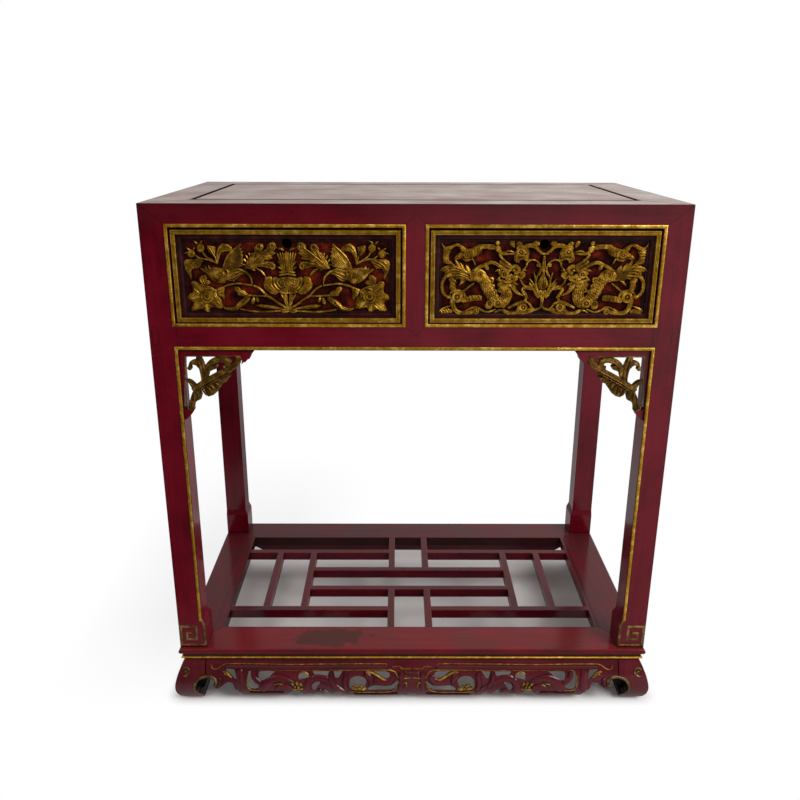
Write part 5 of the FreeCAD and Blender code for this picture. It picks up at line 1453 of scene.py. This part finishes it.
apron_windows = (
    ((225.6, 668), (229, 667), (232, 667.4), (234.4, 669.6), (235.6, 673), (236, 676.4), (237.2, 679),
     (234, 677.8), (231.6, 675.4), (229, 672.6), (227, 670.6)),
    ((248.4, 671), (250.6, 670.4), (250.8, 674), (251.8, 677.6), (254, 680.6), (257.4, 682.4),
     (259, 684.4), (259.8, 687.6), (255, 688.4), (250, 688.2), (247.8, 685), (247.4, 680)),
    ((259.4, 670.8), (268, 670.4), (276.4, 671), (273.4, 672.8), (270.6, 675.6), (268, 678.6),
     (265, 680.4), (261.4, 680.2), (258.8, 678.6), (258.4, 674)),
    ((298, 676.4), (299.6, 673.4), (303, 672.2), (306.4, 672.8), (308.6, 674.6), (309.2, 677),
     (306, 678), (302, 678.8), (299, 679.2)),
    ((312.6, 670.8), (329.6, 670.8), (328.6, 672.8), (328, 675.6), (325, 676), (322, 675),
     (318.6, 674.6), (315.4, 675.2), (313.8, 673.4)),
    ((333.8, 670.8), (342.6, 670.8), (341.4, 673), (339.4, 676.4), (337.6, 678), (335.6, 677.6),
     (334.2, 674.6)),
    ((313, 683.4), (316, 681.8), (320, 681.4), (319.6, 683.6), (317, 687), (315, 690), (312.8, 689),
     (311.2, 686.4)),
    ((349.4, 684), (349.8, 680), (351.6, 677.4), (355, 675.8), (359, 675.6), (363, 676.6), (366, 679),
     (366.8, 681.6), (365.4, 685), (363.4, 688), (352, 688.4), (349.4, 687)),
    ((372.8, 670.8), (386, 670.8), (389.4, 672.4), (390.4, 675.2), (389, 677.4), (386.4, 678.4),
     (383, 677.4), (379, 674.6), (376, 672.4)),
    ((397.4, 680), (397.2, 684), (395, 687.6), (391, 689.4), (370, 689.6), (366.8, 689), (370, 686.4),
     (374, 684.8), (378, 685.2), (386, 685.6), (391.6, 685), (394.6, 682.8)))
section_heights = range(8, 87, 3)
section = [(swelling(z * millimetre), z * millimetre) for z in section_heights]
section += [(min(y + apron_thickness, apron_high.y), z) for y, z in reversed(section)]
bm = bmesh.new()
push_out(bm, [(apron_low.x, y, z) for y, z in section], (apron_high.x - apron_low.x, 0, 0))
edge = [seen_on(*spot, swelling) for spot in apron_edge]
# A narrow open joint is left against each foot.
board_end, board_top = apron_low.x + 1.3 * millimetre, 90 * millimetre
half_outline = [(board_end, board_top), (board_end, edge[0].z)] + [(p.x, p.z) for p in edge]
outline = half_outline + [(-x, z) for x, z in reversed(half_outline)]
# The tools start ahead of the board and run right through it.
edge_start, edge_run = -300 * millimetre, 100 * millimetre
window_start, window_run = -270 * millimetre, 60 * millimetre
outward_lean, downward_lean = 0.7, 0.84
tool = bmesh.new()
push_out(tool, [(x, edge_start, max(z, apron_low.z)) for x, z in outline], (0, edge_run, 0))
bm = cut(bm, tool, "INTERSECT")
tool = bmesh.new()
for window in apron_windows:
    places = [seen_on(*spot, swelling) for spot in window]
    for side in (1, -1):
        lean = Vector((side * places[0].x * outward_lean, 1, -downward_lean))
        spots = [Vector((side * p.x, p.y, p.z)) for p in places]
        push_out(tool, [p - lean * (p.y - window_start) for p in spots], lean * window_run)
apron_lacquer = lacquer("dulled red lacquer on the carved apron", "x", dulled_shades,
                        gloss=0.5, mirror=0.04, film=0.1, coat=0.45)
finished("apron_front_board", cut(bm, tool), apron_lacquer, "table", ["apron_front"],
         sharp=30)
scroll_strokes = """
vine 2.8 1.3 239.4,669 240.4,676 240.4,684 241.4,691
vine 2.0 1.6 254.2,671.4 253.6,675.6 256.4,679.8 260.6,682.6
tail 4.0 2.0 261.6,689.6 265.4,684 272,679.6 281,677.6 289,679.4 296,683
vine 2.6 1.7 311,679 308.2,683 307.4,688 309,692
vine 2.8 1.8 310.6,680 315,677.8 320.6,677.6 326,679 331,683
vine 2.0 2.2 331.4,673.2 331,677.6 332.6,682.4 336,686.6
vine 2.6 1.5 333,685 338,688.4 343,690.6 348,692.4
bud 2.4 1.4 317.6,689.4 321.6,691.4
vine 2.0 1.8 346.6,672.4 345.4,678 345,684 347.4,690
tail 2.6 2.4 365,673.4 369.6,677 371.4,681.6 368,685.6
vine 2.6 2.2 374,680.6 379,681.2 386,681.8 391,679.6 393.4,675
vine 2.2 1.2 401,672 401.4,680 400.6,690
vine 1.4 1.0 250,692.6 262,692.8 284,692.6
vine 1.0 1.0 354,693.8 376,693.9 398,693.6
vine 2.0 1.5 276,689 281,686.4 287,686.4 292,688.4
petal 2.0 1.4 222,684.6 219.6,681.6 221,677.6
bud 1.6 1.4 216.6,686.4 220.4,685.6
vine 1.3 1.0 406,673 412,673
vine 1.6 0.8 226,666.8 260,667.2 300,667.4 340,667.2 388,667
"""
finished("apron_front_scrolls", relief(read_strokes(scroll_strokes), swelling, mirror_x=0),
         apron_lacquer, "table")
rubbed_gilding = gilding("gold leaf rubbed almost away on the feet",
                         ("#32240F", "#4C3A1C", "#6C582E", "#94804C"), grime_and_shade_colour="#120A08",
                         grime_and_shade_reach=2 * millimetre, ground=apron_low.y + 6 * millimetre,
                         height=8 * millimetre, wear=0.75)
foot_strokes = """
vine 0.9 1.0 196,691 194.5,687 195.4,682.6 198.6,678.8 203,676.8
vine 1.0 1.2 203,676.8 209,676 214,677.8 216.4,681 215.8,684.6 213.8,685.2
vine 0.7 0.5 182.4,670 185,667.6 188.4,668.6 189.4,671.6 187,675 183.6,676.4
vine 0.6 0.5 184.4,671.2 186.2,670.8 186.6,672.6
"""
finished("foot_scrolls_worn", relief(read_strokes(foot_strokes), swelling, mirror_x=0),
         rubbed_gilding, "table")
apron_gilding = gilding("gold leaf on the apron", ("#523A12", "#785818", "#9A7628", "#CAA654"),
                        grime_and_shade_colour="#140A06", grime_and_shade_reach=1.6 * millimetre,
                        ground=apron_low.y + 6 * millimetre, height=8 * millimetre, wear=0.55)
gilt_strokes = """
vine 0.32 0.7 211.5,664 212,667.5 215.5,669 219,667.5 221.5,665.5 226,663.5
vine 0.3 0.7 226,663.5 240,663.4 262,663.6 290,664.2 320,663.8 385,663.5 387,665.4
vine 0.36 0.8 250.5,670.2 254,669.2 262,669.2 300,669.9 330,669.6
vine 0.5 0.9 330,669.6 360,669.4 390,669.7 395,671.5 397.6,676
vine 0.4 1.0 350,690.5 357,691.7 370,691.8 385,691.8 392,690.6 397,686 398,681
vine 0.35 1.0 248,674 247,681 248.4,687.4 253,690 262,690
vine 0.4 1.0 392,666.5 400,666.2 402,668.4 411,668.3
vine 0.4 1.0 406,670 406,676
vine 0.4 1.0 398,677 404,678 411,677.5
vine 0.45 1.0 398,681.4 402,683.6 406,682.4 406.6,687
vine 0.7 2.6 366,671.6 370,671.4 376,674 382,677.8 388,680 391,676
bud 1.2 2.8 366,671.6 367.4,671.6
vine 0.5 1.4 299,674 302,671.6 306,672 308.6,675
vine 0.5 1.4 278,681 281,680 284.6,680.8
vine 0.4 1.4 274,684 280,683.4 286,685.6
vine 0.6 1.4 222.6,671 226,671.6 229.6,674.6
vine 0.5 1.4 224,673.6 227,674 231.6,677
bud 1.5 2.6 352.4,688 353.6,686.2
bud 1.6 3.0 355.6,688.6 356.4,687
bud 1.6 3.4 357.2,685.4 358,684.2
bud 1.6 3.2 359.4,688.4 360,686.6
bud 1.5 3.2 362.6,688.8 363.6,687.4
bud 1.3 3.0 361,685.8 361.8,684.8
bud 1.3 2.8 364.8,688 365.4,687
bud 1.3 2.8 355,685 355.6,684
bud 1.6 2.6 292,684 293.4,682.6
bud 1.8 3.0 296.4,683.2 298,682.2
bud 1.6 2.8 300.4,683.8 301.4,682.8
bud 1.4 2.8 297.6,686.6 299.6,686
bud 1.2 2.6 294.6,686.4 295.6,685.6
vine 0.6 1.2 290,688.6 296,689 303,688.4
"""
finished("apron_front_gilding", relief(read_strokes(gilt_strokes), swelling, mirror_x=0),
         apron_gilding, "table")

# Spandrels
# Each bracket under the case is a red border with a gold line round pierced, gilded foliage.
# A ribbon runs across the corner, with leaf scrolls above it and a lobed leaf hanging below.
spandrel_low, spandrel_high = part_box("spandrel_left")
foliage_depth = 9 * millimetre
foliage_slope = 12
border_gold = 0.9 * millimetre
# The left border as places in the picture: its inner edge round the corner, its shaped end below
# the rail, and its foot on the leg.
border_line = ((184.6, 409), (184.6, 356.2), (239.4, 356.2), (241.8, 360))
border_edge = ((241.4, 364.6), (243.6, 362.4), (245.6, 362), (247.6, 359.6), (249.6, 358.8),
               (250.6, 355.4), (254, 351))
border_foot = ((181.6, 420), (187.6, 418.4), (191.6, 414.6), (194, 410), (188.6, 409.6))
foliage_strokes = """
petal 3.8 1.0 203.4,390 203.8,380 202.4,368 197.4,355.4
tail 3.9 0.9 202.4,367 197,362.6 191.4,363 188.6,368.4
bud 2.7 1.0 188.8,366 190.8,369.8
vine 3.3 0.9 206.4,377 207.4,369 211,363 217,359.6 223.4,359.2 227.4,361.6 228.8,365.6
petal 2.8 0.6 207,372.6 211.4,368 217,366
vine 3.2 2.2 193,389.6 204,382.4 215,376.2 226,370.6 234,365.6 238.6,360.4 238.4,355.6
leaf 2.2 1.2 231,372.4 226,369.4 222.8,365.4
tail 3.3 0.8 197,390.6 193,385 189.4,381.4 185,379.6
plate 1.6 1.6 199.4,386 205,382 214,377.4 224,373.4 231,376.4 228,378.6 226.4,382 222.6,383.4
 221,386.4 218.6,389.6 217,392.2 213,395.4 208.6,396.8 204.8,395 202.6,391.6
plate 1.2 1.4 196.4,387.6 200,390 201.8,394.6 200.8,399.4 198,400.6 195.4,402.4 194.4,405.4
 194.2,409.4 188.6,409.4 189.4,402 191,396 193,391
leaf 0.7 4.2 200.4,389 202.2,378 201.2,367 198,357
leaf 0.6 3.8 205,388 206,378 205,369 202,360
leaf 0.7 3.2 199.6,363.8 194,362.4 190.4,365
leaf 0.7 3.4 208,371 212.6,363.6 219,360.4 225,361.6
leaf 0.7 5.0 195,389.6 206,382.8 218,376 230,369.4 237,362.6
leaf 0.5 4.8 196.6,391 208,384.2 220,377.6 231,371.6
leaf 0.7 3.8 203.4,387.4 205.4,391 208.4,395.4
leaf 0.6 3.8 206.6,385.4 210.4,389 212.4,393.8
leaf 0.6 3.8 210,383.4 214,386.6 216.8,390
leaf 0.6 3.6 213.6,381.4 217.8,383.4 220,386
leaf 0.6 3.4 217,379.6 221,380.4 224.4,382
leaf 0.6 3.2 221.6,376.8 225.6,377.4 229.6,376.8
bud 1.1 3.8 207.6,389.6 208.6,391.6
bud 1.1 3.6 212.6,386.4 213.8,388
bud 1.0 3.4 209,386.4 210,387.6
bud 1.0 3.4 216.8,384.6 217.8,386
leaf 0.7 3.4 197.4,390 199,394.6 198.6,399
leaf 0.6 3.4 194.8,391.6 195.4,397 193.6,402
leaf 0.6 3.2 192.6,394 191.2,400 190.8,407.6
leaf 0.6 3.4 196.6,389 192,383.8 187,381
"""
spandrel_gilding = gilding("gold leaf on pierced brackets",
                           ("#2C1C07", "#4E350A", "#704E12", "#A07C3A"),
                           grime_and_shade_colour="#0B0503", grime_and_shade_reach=2.6 * millimetre,
                           ground=spandrel_low.y + 6 * millimetre, height=6 * millimetre, wear=0.4)
border_seen = [seen_at(across, down, spandrel_low.y)
               for across, down in border_foot + border_line + border_edge]
border_points = [(spandrel_low.x, spandrel_high.z), (spandrel_low.x, border_seen[0].z)]
border_points += [(place.x, place.z) for place in border_seen[1:]]
gold_seen = [seen_at(across, down, spandrel_low.y)
             for across, down in ((192.6, 410), (188.4, 409), (186.4, 403), *border_line[1:])]


def foliage_face(z):
    """The plane that the foliage is carved up from, a little behind the border's front."""
    return spandrel_low.y + 3 * millimetre


for side, sign in (("left", 1), ("right", -1)):
    bm = bmesh.new()
    push_out(bm, [(sign * x, spandrel_low.y, z) for x, z in border_points],
             (0, spandrel_high.y - spandrel_low.y, 0))
    finished(f"spandrel_{side}_border", bm, upright_lacquer, "table",
             [f"spandrel_{side}"], sharp=30)
    bm = relief(read_strokes(foliage_strokes), foliage_face, depth=foliage_depth,
                slope=foliage_slope)
    bmesh.ops.scale(bm, verts=bm.verts, vec=(sign, 1, 1))
    run_bead(bm, [(sign * place.x, place.z) for place in gold_seen], border_gold, border_gold,
             spandrel_low.y + 0.2 * millimetre, False)
    finished(f"spandrel_{side}_foliage", bm, spandrel_gilding, "table",
             [f"spandrel_{side}"])
